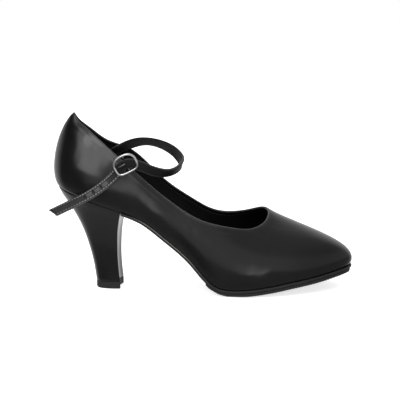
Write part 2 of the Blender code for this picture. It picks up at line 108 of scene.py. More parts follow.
# Bottom line of the last: share of LENGTH from the back, share of the heel height above the ball
BOTTOM_ROWS = np.array((
    (0.000, 0.997),
    (0.071, 0.922),
    (0.146, 0.840),
    (0.226, 0.756),
    (0.289, 0.673),
    (0.370, 0.492),
    (0.457, 0.276),
    (0.478, 0.208),
    (0.504, 0.123),
    (0.534, 0.047),
    (0.568, 0.008),
    (0.603, 0.000),
    (0.639, 0.004),
    (0.731, 0.036),
    (0.795, 0.068),
    (0.878, 0.105),
    (0.943, 0.138),
    (1.000, 0.165),
))

# Sections of the upper from the back seam round the outer side, toe and inner side:
# along, side, top_along, top_side, rise, low_out, low_up, high_out, high_down
TOE_ROW = 12
SECTION_ROWS = np.array((
    (-0.006, 0.000, 0.054, 0.000, 1.324, 7.5, 0.20, 8.5, 0.18),
    (0.008, -0.307, 0.065, -0.115, 1.235, 6.9, 0.22, 7.6, 0.20),
    (0.055, -0.533, 0.101, -0.256, 1.168, 5.4, 0.27, 6.2, 0.24),
    (0.132, -0.651, 0.157, -0.443, 1.085, 4.0, 0.33, 4.8, 0.31),
    (0.222, -0.661, 0.235, -0.608, 0.908, 2.6, 0.33, 2.6, 0.33),
    (0.339, -0.627, 0.343, -0.575, 0.738, 2.4, 0.33, 3.2, 0.33),
    (0.446, -0.733, 0.446, -0.662, 0.804, 2.5, 0.34, 3.0, 0.33),
    (0.536, -0.896, 0.525, -0.727, 1.097, 2.0, 0.36, 3.0, 0.31),
    (0.626, -0.987, 0.592, -0.693, 1.093, 1.8, 0.39, 4.4, 0.27),
    (0.731, -0.955, 0.650, -0.587, 0.986, 1.6, 0.42, 5.0, 0.24),
    (0.856, -0.736, 0.692, -0.427, 0.916, 1.9, 0.45, 4.6, 0.25),
    (0.957, -0.357, 0.717, -0.213, 0.914, 6.0, 0.45, 3.0, 0.27),
    (1.000, 0.080, 0.724, 0.027, 0.979, 11.0, 0.43, 1.0, 0.28),
    (0.960, 0.485, 0.714, 0.213, 1.060, 6.2, 0.44, 3.0, 0.29),
    (0.869, 0.827, 0.688, 0.379, 1.126, 2.0, 0.45, 4.6, 0.27),
    (0.758, 0.987, 0.648, 0.549, 1.147, 1.8, 0.42, 5.0, 0.25),
    (0.657, 1.003, 0.594, 0.683, 1.163, 1.8, 0.39, 4.5, 0.26),
    (0.558, 0.864, 0.529, 0.741, 1.170, 2.0, 0.36, 3.4, 0.31),
    (0.460, 0.672, 0.448, 0.690, 0.944, 2.5, 0.34, 3.0, 0.33),
    (0.348, 0.549, 0.343, 0.620, 0.862, 2.4, 0.33, 3.0, 0.33),
    (0.231, 0.603, 0.235, 0.597, 1.018, 3.0, 0.33, 2.5, 0.33),
    (0.132, 0.635, 0.157, 0.437, 1.026, 4.0, 0.33, 4.8, 0.31),
    (0.055, 0.528, 0.101, 0.256, 1.130, 5.4, 0.27, 6.2, 0.24),
    (0.008, 0.304, 0.065, 0.115, 1.230, 6.9, 0.22, 7.6, 0.20),
))

# Heel block from the tip up: level, back, breast, width as a share of the seat
HEEL_ROWS = np.array((
    (0.00, -11.2, 8.7, 0.440),
    (0.17, -12.9, 7.8, 0.455),
    (0.37, -16.3, 7.4, 0.490),
    (0.57, -21.3, 7.7, 0.565),
    (0.72, -26.8, 8.4, 0.660),
    (0.86, -33.2, 9.9, 0.800),
    (0.93, -36.4, 10.9, 0.900),
    (1.00, -38.8, 12.0, 1.000),
))

# Middle line of the strap: x, y, z and the lean of its upper edge in degrees
STRAP_ROWS = np.array((
    (-6.0, 18.6, 98.1, -20.0),
    (0.5, 17.3, 101.9, -20.0),
    (6.0, 16.4, 105.1, -18.0),
    (13.0, 18.8, 108.1, 8.0),
    (25.5, 24.6, 110.3, 44.0),
    (43.0, 21.8, 106.5, 46.0),
    (54.6, 8.5, 99.8, 34.0),
    (56.6, -7.5, 95.4, 20.0),
    (47.8, -21.6, 92.3, 34.0),
    (38.0, -27.2, 94.7, 10.0),
    (27.5, -29.2, 99.1, 0.0),
    (17.6, -29.3, 100.2, 0.0),
    (9.8, -29.4, 92.9, -5.0),
    (3.3, -30.0, 86.5, -18.0),
    (-5.6, -30.5, 79.9, -26.0),
    (-15.8, -30.8, 74.1, -28.0),
    (-26.1, -31.0, 69.2, -28.0),
    (-40.4, -31.2, 62.5, -28.0),
))

# Soft creases of the upper: side, x and level of both ends, half width in mm, height in mm
CREASE_ROWS = np.array((
    (-1, 124.0, 0.97, 141.0, 0.68, 3.2, 0.26),
    (-1, 117.0, 0.72, 112.0, 0.28, 4.5, 0.24),
    (-1, 126.0, 0.64, 119.0, 0.34, 4.5, -0.18),
    (-1, 135.0, 0.56, 126.0, 0.28, 5.0, 0.20),
    (-1, -22.0, 0.90, -19.0, 0.56, 3.2, 0.09),
    (-1, -13.0, 0.90, -11.0, 0.62, 3.0, -0.12),
    (1, 126.0, 0.97, 142.0, 0.70, 3.2, 0.24),
    (1, 118.0, 0.72, 114.0, 0.30, 4.5, 0.20),
    (1, 127.0, 0.64, 121.0, 0.36, 4.0, -0.20),
    (1, -18.0, 0.88, -15.0, 0.58, 3.0, 0.14),
))

# Waves of the leather: height, then the lengths round and up of the two sines that are multiplied
WAVE_ROWS = (
    (0.06, 7.3, math.inf, 31.0, 9.1),
    (0.018, 2.1, 5.7, -6.1, 2.6),
)

# Eased edges of the heel, as level and inset, and of its tip, as height and inset
HEEL_FOOT_ROWS = [(0.0, 0.5), (0.003, 0.12)]
HEEL_TOP_ROWS = [(0.994, 0.1), (1.0, 0.45)]
HEEL_CAP_SHARES = (0.8, 0.55, 0.3, 0.1)
TIP_ROWS = ((0.0, 0.75), (0.12, 0.42), (0.4, 0.14), (0.8, 0.0), (2.4, 0.0), (4.9, 0.0), (5.35, 0.1),
            (TIP_HEIGHT, 0.4))
HEEL_CURVE = 0.45
TIP_CURVE = 0.5

# Fine details of the upper
FOLD_BAND = 5.0
FOLD_STEP = 0.8
FOLD_RAISE = 0.14
TURNED_EDGE = 2.4
TURNED_STEP = 0.5
TUCK_REACH = 1.6
TUCK_DEPTH = 0.28
SEAM_WIDTH = 0.6
SEAM_DEPTH = 0.22
SEAM_ROLL = 0.14
ROLL_OFF = 1.7
ROLL_WIDTH = 1.1
SEAM_REACH = 5.0
SEAM_STEP = 0.25
RING_STEP = 0.92
FOOT_LEVELS = (0.0, 0.006, 0.013, 0.021, 0.03, 0.041)
CREASE_DEPTH = 0.0003
CREASE_FADE = 4.0
# Painted highlight: a paler line along the topline and along the foot at the heel seat, with its reach,
# strength and end along x
TOP_HIGHLIGHT = 0.9
TOP_HIGHLIGHT_SHARE = 0.7
FOOT_HIGHLIGHT = 0.8
FOOT_HIGHLIGHT_END = (-32.0, -14.0)
LINING_BACK = 0.05
LINING_EDGE = 0.15

# Fine details of the soles; the outsole's edge carries a painted highlight along some columns from start to
# end
SEAT_GAP = 0.06
INSOLE_START = 1.2
EDGE_POWER = 0.6
EDGE_CROWD = 0.06
RIB_FADE = 2.0
SOLE_DUST = (0.2, 1.4)
TIP_DUST = (0.1, 2.0)
SOLE_HIGHLIGHT_COLUMNS = (7, 8, 21, 22)
SOLE_HIGHLIGHT_START = (16.0, 34.0)
SOLE_HIGHLIGHT_END = (58.0, 84.0)

# Fine details of the strap; its wear and painted light are placed by the distance from the tail's end
STRAP_EASE = 0.55
STRAP_FALL = 0.12
CORNER_POWER = 0.7
TROUGH_DEPTH = 0.1
TROUGH_WIDTH = 0.4
HOLE_COUNT = 3
HOLE_RIM = 0.5
HOLE_SOFT = 0.12
HOLE_WEB = 0.12
STRAP_RUB = 0.5
# Wear and painted light: where the tail turns paler, then the panels between its holes
TAIL_WEAR_AND_LIGHT = (62.0, 55.0)
PANEL_LONG = (1.8, 3.0)
PANEL_WIDE = (1.1, 1.8)
STITCH_END = 3.0
STITCH_SINK = 0.06
STITCH_TIP = 0.35
STITCH_RISE = 0.55
STITCH_DIP = 0.35
# Thread on the tail: paler from wear and painted light, dimmed by half near the tail's end
THREAD_WEAR_AND_LIGHT = (62.0, 58.0)
THREAD_END_DIM = (32.0, 16.0)

# Fine details of buckle and tab: how fast the frame turns square, the prong's start, arch and ends
FRAME_BLEND = 4.0
PRONG_BACK = 0.6
PRONG_ARCH = 0.5
PRONG_TAPER = 0.2
PRONG_STRAIGHT = 0.44
PRONG_ROUND = 0.065
TAB_TOP = 0.985
TAB_EASE = 0.45

# Lamps, in metres
KEY_PLACE = (-0.304, -0.702, 0.698)
KEY_TARGET = (-0.178, 0.067, 0.248)
KEY_ROLL = math.radians(-14.0)
KEY_SHAPE = {"shape": "RECTANGLE", "size": 0.47, "size_y": 0.93}
CORE_PLACE = (-0.25, -0.56, 0.81)
CORE_TARGET = (0.0, -0.03, 0.1)
CORE_SHAPE = {"shape": "ELLIPSE", "size": 0.2, "size_y": 0.24}
TOP_PLACE = (0.07, -0.3, 2.0)
TOP_SHAPE = {"angle": math.radians(100.0)}

# Room that the gloss sees: where each change begins and ends along x, y or z of the direction
LEFT_X = (-0.6, -0.4)
RIGHT_X = (0.4, 0.72)
TOP_Z = (0.45, 0.75)
TOP_DIM = 0.35
LINE_DROP = 0.06
LINE_DIP_X = (-0.2, -0.02)
LINE_DIP = 0.04
LINE_RISE_X = (0.0, 0.35)
LINE_RISE = 0.17
LINE_SOFT = (-0.03, 0.03)
STRIP_Z = (0.05, 0.28)
STRIP_IN_X = (-0.2, 0.03)
STRIP_OUT_X = (0.15, 0.35)
GLOW_X = (-0.1, 0.4)
GLOW_Z = (-0.56, -0.42)
CORNER_X = (-0.62, -0.4)
CORNER_Z = (-0.4, -0.25)
CORNER_DIM = 0.6
BACKDROP_Y = (0.1, 0.7)
BACKDROP_SLANT = 0.3


def even_line(knots, values, at):
    """Cubic line through table rows whose slopes are harmonic means, so it never swings past them."""
    step = np.diff(knots)
    slope = np.diff(values) / step
    before, after = slope[:-1], slope[1:]
    weight_a = 2.0 * step[1:] + step[:-1]
    weight_b = step[1:] + 2.0 * step[:-1]
    same_way = before * after > 0.0
    safe_before = np.where(same_way, before, 1.0)
    safe_after = np.where(same_way, after, 1.0)
    mean = (weight_a + weight_b) / (weight_a / safe_before + weight_b / safe_after)
    tangent = np.concatenate([slope[:1], np.where(same_way, mean, 0.0), slope[-1:]])
    cell = np.clip(np.searchsorted(knots, at) - 1, 0, len(step) - 1)
    share = (np.clip(at, knots[0], knots[-1]) - knots[cell]) / step[cell]
    rise = values[cell + 1] - values[cell]
    left = tangent[cell] * step[cell]
    right = tangent[cell + 1] * step[cell]
    return values[cell] + share * left + share ** 2 * (3 * rise - 2 * left - right) \
        + share ** 3 * (left + right - 2 * rise)


def spline(knots, values, at, period=None):
    """Cubic spline through rows at knots, with equal slope and curvature on both sides of every row.

    It closes after a period, or else has no curvature at its two ends.
    """
    count = len(knots)
    turn = period or knots[-1] - knots[0] + 1.0
    step = np.diff(np.append(knots, knots[0] + turn))
    slope = (np.roll(values, -1, axis=0) - values) / step[:, None]
    back = np.roll(step, 1)
    row = np.arange(count)
    after = np.roll(row, -1)
    system = np.zeros((count, count))
    system[row, row - 1] = back
    system[row, row] = 2.0 * (back + step)
    system[row, after] = step
    pull = 6.0 * (slope - np.roll(slope, 1, axis=0))
    if period:
        at = np.mod(at - knots[0], period) + knots[0]
    else:
        system[[0, -1]] = np.eye(count)[[0, -1]]
        pull[[0, -1]] = 0.0
    bend = np.linalg.solve(system, pull)
    last = count - 1 if period else count - 2
    cell = np.clip(np.searchsorted(knots, at, side="right") - 1, 0, last)
    span = step[cell][:, None]
    local = (at - knots[cell])[:, None]
    start, end = bend[cell], bend[after[cell]]
    tangent = slope[cell] - span * (2.0 * start + end) / 6.0
    return values[cell] + tangent * local + start * local ** 2 / 2.0 \
        + (end - start) * local ** 3 / (6.0 * span)


def arc_length(points):
    """Distance of every row of points from the first, along the rows."""
    step = np.linalg.norm(np.diff(points, axis=0), axis=-1)
    return np.concatenate([np.zeros_like(step[:1]), np.cumsum(step, axis=0)])


def smooth(value, low, high):
    """Share from 0 at low to 1 at high with level ends."""
    share = np.clip((value - low) / (high - low), 0.0, 1.0)
    return share * share * (3.0 - 2.0 * share)


def bottom(x):
    """Height of the last's bottom line at x."""
    share = even_line(BOTTOM_ROWS[:, 0], BOTTOM_ROWS[:, 1], (np.asarray(x, float) - BACK_X) / LENGTH)
    return SOLE_STACK + (HEEL_HEIGHT - SOLE_STACK) * share


def below(x, depth):
    """Height of a face that lies a depth under the bottom line, measured square to it."""
    slope = bottom(x + 0.5) - bottom(x - 0.5)
    return bottom(x) - depth * np.sqrt(1.0 + slope ** 2)


def unit(vectors):
    """Vectors scaled to length one."""
    return vectors / np.linalg.norm(vectors, axis=-1, keepdims=True)


def bell(off, width):
    """Bell of a distance: one at zero, falling with the square of distance over width."""
    return np.exp(-(off / width) ** 2)


def bent(value, power):
    """A power of a value's size, with the value's own sign."""
    return np.sign(value) * np.abs(value) ** power


def between(first, last, share):
    """Points between two others by a share."""
    return first * (1.0 - share) + last * share


def lifted(plan, height):
    """Points in plan with their heights."""
    return np.concatenate([plan, height[..., None]], axis=-1)


class Last:
    """The upper's outer face: a wall curve from the foot line to the topline at each place round."""

    def __init__(self):
        table = SECTION_ROWS
        half = BALL_WIDTH / 2.0
        foot_x = BACK_X + LENGTH * table[:, 0]
        foot = np.stack([foot_x, half * table[:, 1], bottom(foot_x)], axis=1)
        top = np.stack([BACK_X + LENGTH * table[:, 2], half * table[:, 3],
                        foot[:, 2] + INSTEP * table[:, 4]], axis=1)
        foot_step = np.linalg.norm(np.roll(foot, -1, axis=0) - foot, axis=1)
        top_step = np.linalg.norm(np.roll(top, -1, axis=0) - top, axis=1)
        step = 0.5 * (foot_step + top_step)
        self.knots = np.concatenate([[0.0], np.cumsum(step)[:-1]])
        self.period = float(step.sum())
        self.rows = np.concatenate([foot[:, :2], top, table[:, 5:]], axis=1)
        self.toe = float(self.knots[TOE_ROW])

    def foot(self, place):
        """Foot line at places round the ring, its outward direction in plan and the ring's row."""
        ring = spline(self.knots, self.rows, place, self.period)
        after = spline(self.knots, self.rows, place + 0.01, self.period)
        run = unit((after - ring)[:, :2])
        return ring[:, :2], np.stack([run[:, 1], -run[:, 0]], axis=1), ring

    def wall(self, place, level):
        """Cubic from foot to topline with two pulls, for levels in rows and places in columns."""
        plan, outward, ring = self.foot(place)
        foot = lifted(plan, bottom(plan[:, 0]))
        top = ring[:, 2:5]
        low_out, low_up, high_out, high_down = ring[:, 5:].T
        height = top[:, 2] - foot[:, 2]
        low = foot.copy()
        low[:, :2] += outward * low_out[:, None]
        low[:, 2] += height * low_up
        high = top.copy()
        high[:, :2] += (plan - top[:, :2]) / 3.0 + outward * high_out[:, None]
        high[:, 2] -= height * high_down
        u = np.asarray(level, float)[..., None]
        v = 1.0 - u
        return v ** 3 * foot + 3 * v * v * u * low + 3 * v * u * u * high + u ** 3 * top

    def normal(self, place, level):
        """Outward unit normal of the wall: cross product of small steps round and up."""
        round_step = self.wall(place + 0.02, level) - self.wall(place - 0.02, level)
        up_step = self.wall(place, level + 0.002) - self.wall(place, level - 0.002)
        return unit(np.cross(round_step, up_step))

    def place_at(self, x, side):
        """Place on the ring where the foot line passes x on the outer (-1) or inner (+1) side."""
        start = 0.0 if side < 0 else self.period
        places = np.linspace(start, self.toe, 800)
        return float(np.interp(x, self.foot(places)[0][:, 0], places))


LAST = Last()
STRAP_KNOTS = arc_length(STRAP_ROWS[:, :3])
STRAP_LENGTH = float(STRAP_KNOTS[-1])


def quads(rows, columns, wrap_rows, wrap_columns):
    """Corner numbers of the quads of a grid, closed round where asked."""
    index = np.arange(rows * columns).reshape(rows, columns)
    if wrap_rows:
        index = np.concatenate([index, index[:1]])
    if wrap_columns:
        index = np.concatenate([index, index[:, :1]], axis=1)
    corners = (index[:-1, :-1], index[:-1, 1:], index[1:, 1:], index[1:, :-1])
    return np.stack(corners, axis=-1).reshape(-1, 4)


def volume(points, faces):
    """Six times the signed volume of a closed set of quads."""
    a, b, c, d = (points[faces[:, k]] for k in range(4))
    first = np.einsum("ij,ij->i", a, np.cross(b, c))
    return float(np.sum(first + np.einsum("ij,ij->i", a, np.cross(c, d))))


def add_piece(name, node, points, faces, caps, material, fields):
    """One mesh object in metres at the origin that rides on the shoe and stands for a frame node."""
    points = points.reshape(-1, 3) * MM
    if volume(points, faces) < 0.0:
        faces = faces[:, ::-1]
        caps = [cap[::-1] for cap in caps]
    mesh = bpy.data.meshes.new(name)
    mesh.from_pydata(points.tolist(), [], faces.tolist() + [cap.tolist() for cap in caps])
    mesh.polygons.foreach_set("use_smooth", np.arange(len(mesh.polygons)) < len(faces))
    for key, values in fields.items():
        layer = mesh.attributes.new(key, "FLOAT", "POINT")
        layer.data.foreach_set("value", values.astype(np.float32).ravel())
    mesh.materials.append(material)
    mesh.update()
    piece = bpy.data.objects.new(name, mesh)
    bpy.context.scene.collection.objects.link(piece)
    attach(piece, "root")
    if node:
        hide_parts(node)


def add_rings(name, node, loops, material, fields=None, joined=False):
    """Closed piece of equal loops: flat polygons close both ends, or the last joins the first."""
    rows, columns = loops.shape[:2]
    caps = []
    if not joined:
        caps = [np.arange(columns)[::-1], np.arange((rows - 1) * columns, rows * columns)]
    add_piece(name, node, loops, quads(rows, columns, joined, True), caps, material, fields or {})


def tube_rings(path, radius, sides, closed=False):
    """Round rings along a path: the path plus its two cross directions turned round by an angle."""
    if closed:
        run = unit(np.roll(path, -1, axis=0) - np.roll(path, 1, axis=0))
    else:
        run = unit(np.gradient(path, axis=0))
    across = unit(np.cross(run, np.array([0.0, 1.0, 0.0])))
    angle = np.arange(sides)[:, None] * 2.0 * math.pi / sides
    ring = across[:, None] * np.cos(angle) + np.cross(across, run)[:, None] * np.sin(angle)
    return path[:, None] + np.reshape(radius, (-1, 1, 1)) * ring


# Shader kit


def shade(colour, factor):
    """A colour made lighter or darker, as four numbers."""
    return tuple(float(part) * factor for part in colour[:3]) + (1.0,)


def wire_math(operation, swapped=False):
    """An operator of wires that adds one Math node, its two inputs swapped where asked."""
    def method(wire, other):
        first, second = (other, wire) if swapped else (wire, other)
        return wire.finish.node("Math", {"operation": operation}, {0: first, 1: second})
    return method


class Wire:
    """A shader socket that takes part in sums."""

    __add__ = wire_math("ADD")
    __radd__ = wire_math("ADD", swapped=True)
    __sub__ = wire_math("SUBTRACT")
    __rsub__ = wire_math("SUBTRACT", swapped=True)
    __mul__ = wire_math("MULTIPLY")
    __rmul__ = wire_math("MULTIPLY", swapped=True)

    def __init__(self, finish, socket):
        self.finish = finish
        self.socket = socket


class Finish:
    """A node material with one shader, built from expressions on its sockets."""

    def __init__(self, name):
        self.material = bpy.data.materials.new(name)
        self.material.use_nodes = True
        self.tree = self.material.node_tree
        self.shader = self.tree.nodes["Principled BSDF"]

    def feed(self, socket, value):
        """Link a wire to a socket, or set the socket to a constant."""
        if isinstance(value, Wire):
            self.tree.links.new(value.socket, socket)
        else:
            socket.default_value = value

    def node(self, kind, settings, sockets, out=0):
        """New node of a kind with its settings, then the values or links of its sockets."""
        node = self.tree.nodes.new("ShaderNode" + kind)
        for key, value in settings.items():
            setattr(node, key, value)
        for key, value in sockets.items():
            self.feed(node.inputs[key], value)
        return Wire(self, node.outputs[out])

    def set(self, **values):
        """Links or constants for the shader's sockets, named with underscores for spaces."""
        for key, value in values.items():
            self.feed(self.shader.inputs[key.replace("_", " ")], value)

    def place(self):
        """Object coordinates in metres."""
        return self.node("TexCoord", {}, {}, out="Object")

    def stretched(self, *scale):
        """Object coordinates scaled along each axis, which draws patterns out where the scale is small."""
        return self.node("Mapping", {}, {"Vector": self.place(), "Scale": scale})

    def field(self, name):
        """A value stored on the mesh's points."""
        return self.node("Attribute", {"attribute_name": name}, {}, out="Fac")

    def noise(self, scale, detail=2.0, rough=0.5, vector=None):
        """Cloudy noise from 0 to 1 with about scale blobs to a metre."""
        return self.node("TexNoise", {"noise_dimensions": "3D"},
                         {"Vector": vector or self.place(), "Scale": scale, "Detail": detail,
                          "Roughness": rough})

    def cells(self, scale):
        """Distance to the nearest of scattered points, about scale of them to a metre."""
        return self.node("TexVoronoi", {"feature": "F1"}, {"Vector": self.place(), "Scale": scale},
                         out="Distance")

    def ramp(self, value, low, high):
        """Share from 0 at low to 1 at high with level ends."""
        return self.node("MapRange", {"interpolation_type": "SMOOTHSTEP"},
                         {"Value": value, "From Min": low, "From Max": high})

    def mix(self, share, first, second):
        """Colour between two others by a share."""
        return self.node("Mix", {"data_type": "RGBA"}, {"Factor": share, 6: first, 7: second}, out=2)

    def tint(self, share, colour, low, high):
        """Colour between two shades of one colour by a share."""
        return self.mix(share, shade(colour, low), shade(colour, high))

    def bump(self, height, distance, strength):
        """Normal of a surface raised by height times distance."""
        return self.node("Bump", {}, {"Height": height, "Distance": distance, "Strength": strength})


def satin_leather(colour):
    """Smooth satin leather: fine cell grain, cloudy gloss and paler edges, a painted highlight along the
    upper's topline and heel seat.
    """
    f = Finish("satin_leather")
    grain = f.cells(1500.0)
    fine = f.noise(2600.0)
    edge_wear_and_highlight = f.field("edge_wear_and_highlight")
    mottle = f.ramp(f.noise(34.0, 3.0), 0.35, 0.7)
    patch = f.ramp(f.noise(320.0), 0.3, 0.7)
    base = f.tint(mottle * 0.6, colour, 0.8, 1.25)
    # Painted highlight: the edge field lightens the upper's topline fold and its edge at the heel seat
    base = f.mix(edge_wear_and_highlight * (0.4 + patch * 0.4), base, shade(colour, 9.0))
    rough = 0.13 + mottle * 0.05 + fine * 0.03 + edge_wear_and_highlight * 0.15
    normal = f.bump(1.0 - grain * 0.7 + fine * 0.35, 0.00005, 0.06)
    f.set(Base_Color=base, Roughness=rough, Normal=normal, Coat_Weight=0.1, Coat_Roughness=0.16)
    return f.material


def strap_leather(colour):
    """Harder strap leather: the tail and the panels between its holes paler from wear and painted light,
    its edges paler from wear.
    """
    f = Finish("strap_leather")
    wear_and_light = f.field("wear_and_light")
    patch = f.ramp(f.noise(210.0, 3.0), 0.38, 0.68)
    fine = f.noise(2400.0)
    # Wear and painted light: the tail past the buckle is paler, and paler again between the holes
    base = f.tint(wear_and_light * (0.5 + patch * 0.5), colour, 1.0, 5.0)
    base = f.mix(f.field("panel_wear_and_light") * (0.6 + patch * 0.4), base, shade(colour, 22.0))
    base = f.mix(f.field("edge_wear_and_highlight") * (0.5 + wear_and_light * 0.4), base, shade(colour, 16.0))
    rough = 0.42 + patch * 0.08 + fine * 0.06
    normal = f.bump(f.cells(900.0) * 0.8 + fine * 0.4, 0.00007, 0.35)
    f.set(Base_Color=base, Roughness=rough, Normal=normal, Specular_IOR_Level=0.3)
    return f.material


def lining_cloth(colour):
    """Smooth black lining with a fine nap."""
    f = Finish("lining")
    nap = f.noise(3200.0, 3.0, 0.6)
    base = f.tint(f.ramp(f.noise(45.0), 0.3, 0.7) * 0.5 + nap * 0.3, colour, 0.7, 1.5)
    normal = f.bump(nap, 0.00005, 0.3)
    f.set(Base_Color=base, Roughness=0.48 + nap * 0.14, Normal=normal, Specular_IOR_Level=0.25)
    return f.material


def sole_leather(colour):
    """Inked sole leather: long fibres along the foot, scuffs and a pale line at the waist, a painted
    highlight on the edge's top.
    """
    f = Finish("sole_leather")
    stretch = f.stretched(0.25, 1.0, 1.0)
    fibre = f.noise(1400.0, 3.0, 0.6, stretch)
    scuff = f.ramp(f.noise(120.0, 4.0, 0.65, stretch), 0.52, 0.72)
    base = f.tint(scuff * 0.5 + fibre * 0.2, colour, 0.8, 3.0)
    # Painted highlight: a pale line on the outsole's edge where the edge field is set
    base = f.mix(f.field("edge_highlight") * (0.7 + fibre * 0.3), base, (0.5, 0.48, 0.46, 1.0))
    rough = 0.42 + fibre * 0.16 + scuff * 0.12
    f.set(Base_Color=base, Roughness=rough, Normal=f.bump(fibre, 0.00006, 0.4))
    return f.material


def worn_rubber(colour):
    """Matt rubber with a fine pebble, greyed by dust where it meets the floor."""
    f = Finish("worn_rubber")
    pebble = f.cells(1100.0)
    fine = f.noise(2800.0)
    dust = f.ramp(f.noise(260.0, 4.0, 0.7), 0.45, 0.75) * f.field("floor")
    base = f.tint(dust * 0.7 + pebble * 0.2, colour, 0.8, 4.5)
    normal = f.bump(pebble + fine * 0.5, 0.00009, 0.5)
    f.set(Base_Color=base, Roughness=0.62 + fine * 0.12 + dust * 0.15, Normal=normal)
    return f.material


def polished_wire(name, colour):
    """Polished wire with faint scratches and cloudy wear."""
    f = Finish(name)
    scratch = f.noise(2600.0, 3.0, 0.7, f.stretched(1.0, 0.2, 0.5))
    cloud = f.ramp(f.noise(240.0, 3.0), 0.4, 0.7)
    base = f.tint(cloud * 0.5, colour, 1.0, 0.72)
    rough = 0.1 + scratch * 0.06 + cloud * 0.08
    f.set(Base_Color=base, Roughness=rough, Metallic=1.0, Normal=f.bump(scratch, 0.00002, 0.2))
    return f.material


def sewing_thread(colour):
    """Twisted thread: slanted bands of light and dark, paler on the tail from wear and painted light."""
    f = Finish("sewing_thread")
    twist = f.node("TexWave", {"bands_direction": "DIAGONAL"},
                   {"Vector": f.place(), "Scale": 900.0, "Distortion": 1.5})
    # Wear and painted light: thread on the tail is mixed to a much paler shade
    base = f.mix(f.field("wear_and_light"), f.tint(twist, colour, 0.6, 1.6), f.tint(twist, colour, 40.0, 70.0))
    f.set(Base_Color=base, Roughness=0.55 + twist * 0.1, Normal=f.bump(twist, 0.00005, 0.5))
    return f.material


# Surfaces


def crease_field(place, arc):
    """Sum of soft ridges: height times a bell of the distance from each crease's line."""
    total = np.zeros_like(arc)
    for side, x0, level0, x1, level1, half_width, height in CREASE_ROWS:
        start = LAST.place_at(x0, side)
        end = LAST.place_at(x1, side)
        low = level0 * np.interp(start, place, arc[-1])
        along = end - start
        up = level1 * np.interp(end, place, arc[-1]) - low
        share = np.clip(((place - start) * along + (arc - low) * up) / (along ** 2 + up ** 2), 0.0, 1.0)
        off = np.hypot(place - start - share * along, arc - low - share * up)
        total += height * bell(off, half_width)
    return total


def seam_field(place):
    """Back seam: a narrow groove between two low rolls, by the distance from the back."""
    off = np.minimum(place, LAST.period - place)
    return SEAM_ROLL * bell(off - ROLL_OFF, ROLL_WIDTH) - SEAM_DEPTH * bell(off, SEAM_WIDTH)


def ring_places():
    """Places round the upper, close together at the back seam."""
    fine = np.arange(0.0, SEAM_REACH, SEAM_STEP)
    wide = np.arange(SEAM_REACH, LAST.period - SEAM_REACH, RING_STEP)
    return np.concatenate([fine, wide, LAST.period - fine[:0:-1]])


def inner_wall(place, face, normal, depth):
    """The wall moved inwards by a depth, its lowest row moved in plan and kept on the bottom line."""
    inner = face - depth[..., None] * normal
    plan, outward, _ = LAST.foot(place)
    inner[0, :, :2] = plan - depth[0][:, None] * outward
    inner[0, :, 2] = bottom(inner[0, :, 0])
    return inner


def build_upper(sizes, paint):
    """Leather shell: creased outer face, round folded topline and turned edge down to the foot.

    Outer face = wall + normal * (creases + seam + waves + fold band - tuck at the foot).
    """
    place = ring_places()
    level = np.concatenate([FOOT_LEVELS, np.linspace(0.055, 1.0, 56)])[:, None]
    face = LAST.wall(place, level)
    normal = LAST.normal(place, level)
    arc = arc_length(face)
    from_top = arc[-1] - arc
    bumps = crease_field(place, arc) * (sizes.crease_depth / CREASE_DEPTH) + seam_field(place)
    for height, round_a, up_a, round_b, up_b in WAVE_ROWS:
        bumps += height * np.sin(place / round_a + arc / up_a) * np.sin(place / round_b + arc / up_b)
    bumps *= smooth(from_top, 0.0, CREASE_FADE) * smooth(arc, 0.0, CREASE_FADE)
    bumps += FOLD_RAISE * (1.0 - smooth(from_top, FOLD_BAND - FOLD_STEP, FOLD_BAND + FOLD_STEP))
    bumps -= TUCK_DEPTH * np.clip(1.0 - arc / TUCK_REACH, 0.0, 1.0) ** 2
    outer = face + normal * bumps[..., None]
    turned = 1.0 - smooth(from_top, TURNED_EDGE, TURNED_EDGE + TURNED_STEP)
    inner = inner_wall(place, face, normal, LEATHER + (WALL - LEATHER) * turned)
    angle = np.linspace(0.0, math.pi, 13)[1:-1, None, None]
    middle = 0.5 * (outer[-1] + inner[-1])
    half = 0.5 * (outer[-1] - inner[-1])
    rise = unit(face[-1] - face[-2]) * sizes.topline_bead / MM
    fold = middle + half * np.cos(angle) + rise * np.sin(angle)
    # Painted highlight: a paler line along the foot at the heel seat and along the topline, full on the
    # fold
    foot_highlight = bell(arc - FOOT_HIGHLIGHT, FOOT_HIGHLIGHT) * (1.0 - smooth(face[..., 0], *FOOT_HIGHLIGHT_END))
    edge_wear_and_highlight = np.concatenate([bell(from_top, TOP_HIGHLIGHT) * TOP_HIGHLIGHT_SHARE + foot_highlight, np.ones(fold.shape[:2]),
                          np.zeros(arc.shape)])
    add_rings("upper_leather", "upper", np.concatenate([outer, fold, inner[::-1]]),
              satin_leather(paint.leather), {"edge_wear_and_highlight": edge_wear_and_highlight}, joined=True)


def build_lining(paint):
    """Lining shell inside the leather, from the foot to just under the turned edge."""
    place = ring_places()
    arc = arc_length(LAST.wall(place, np.linspace(0.0, 1.0, 40)[:, None]))
    level = np.linspace(0.0, 1.0, 34)[:, None] * (1.0 - TURNED_EDGE / arc[-1])
    wall = LAST.wall(place, level)
    normal = LAST.normal(place, level)
    front, back = (inner_wall(place, wall, normal, np.full(level.shape, depth))
                   for depth in (WALL, LEATHER + LINING_BACK))
    edge = 0.5 * (front[-1] + back[-1]) + LINING_EDGE * unit(wall[-1] - wall[-2])
    loops = np.concatenate([front, edge[None], back[::-1]])
    add_rings("upper_lining", None, loops, lining_cloth(paint.lining), joined=True)


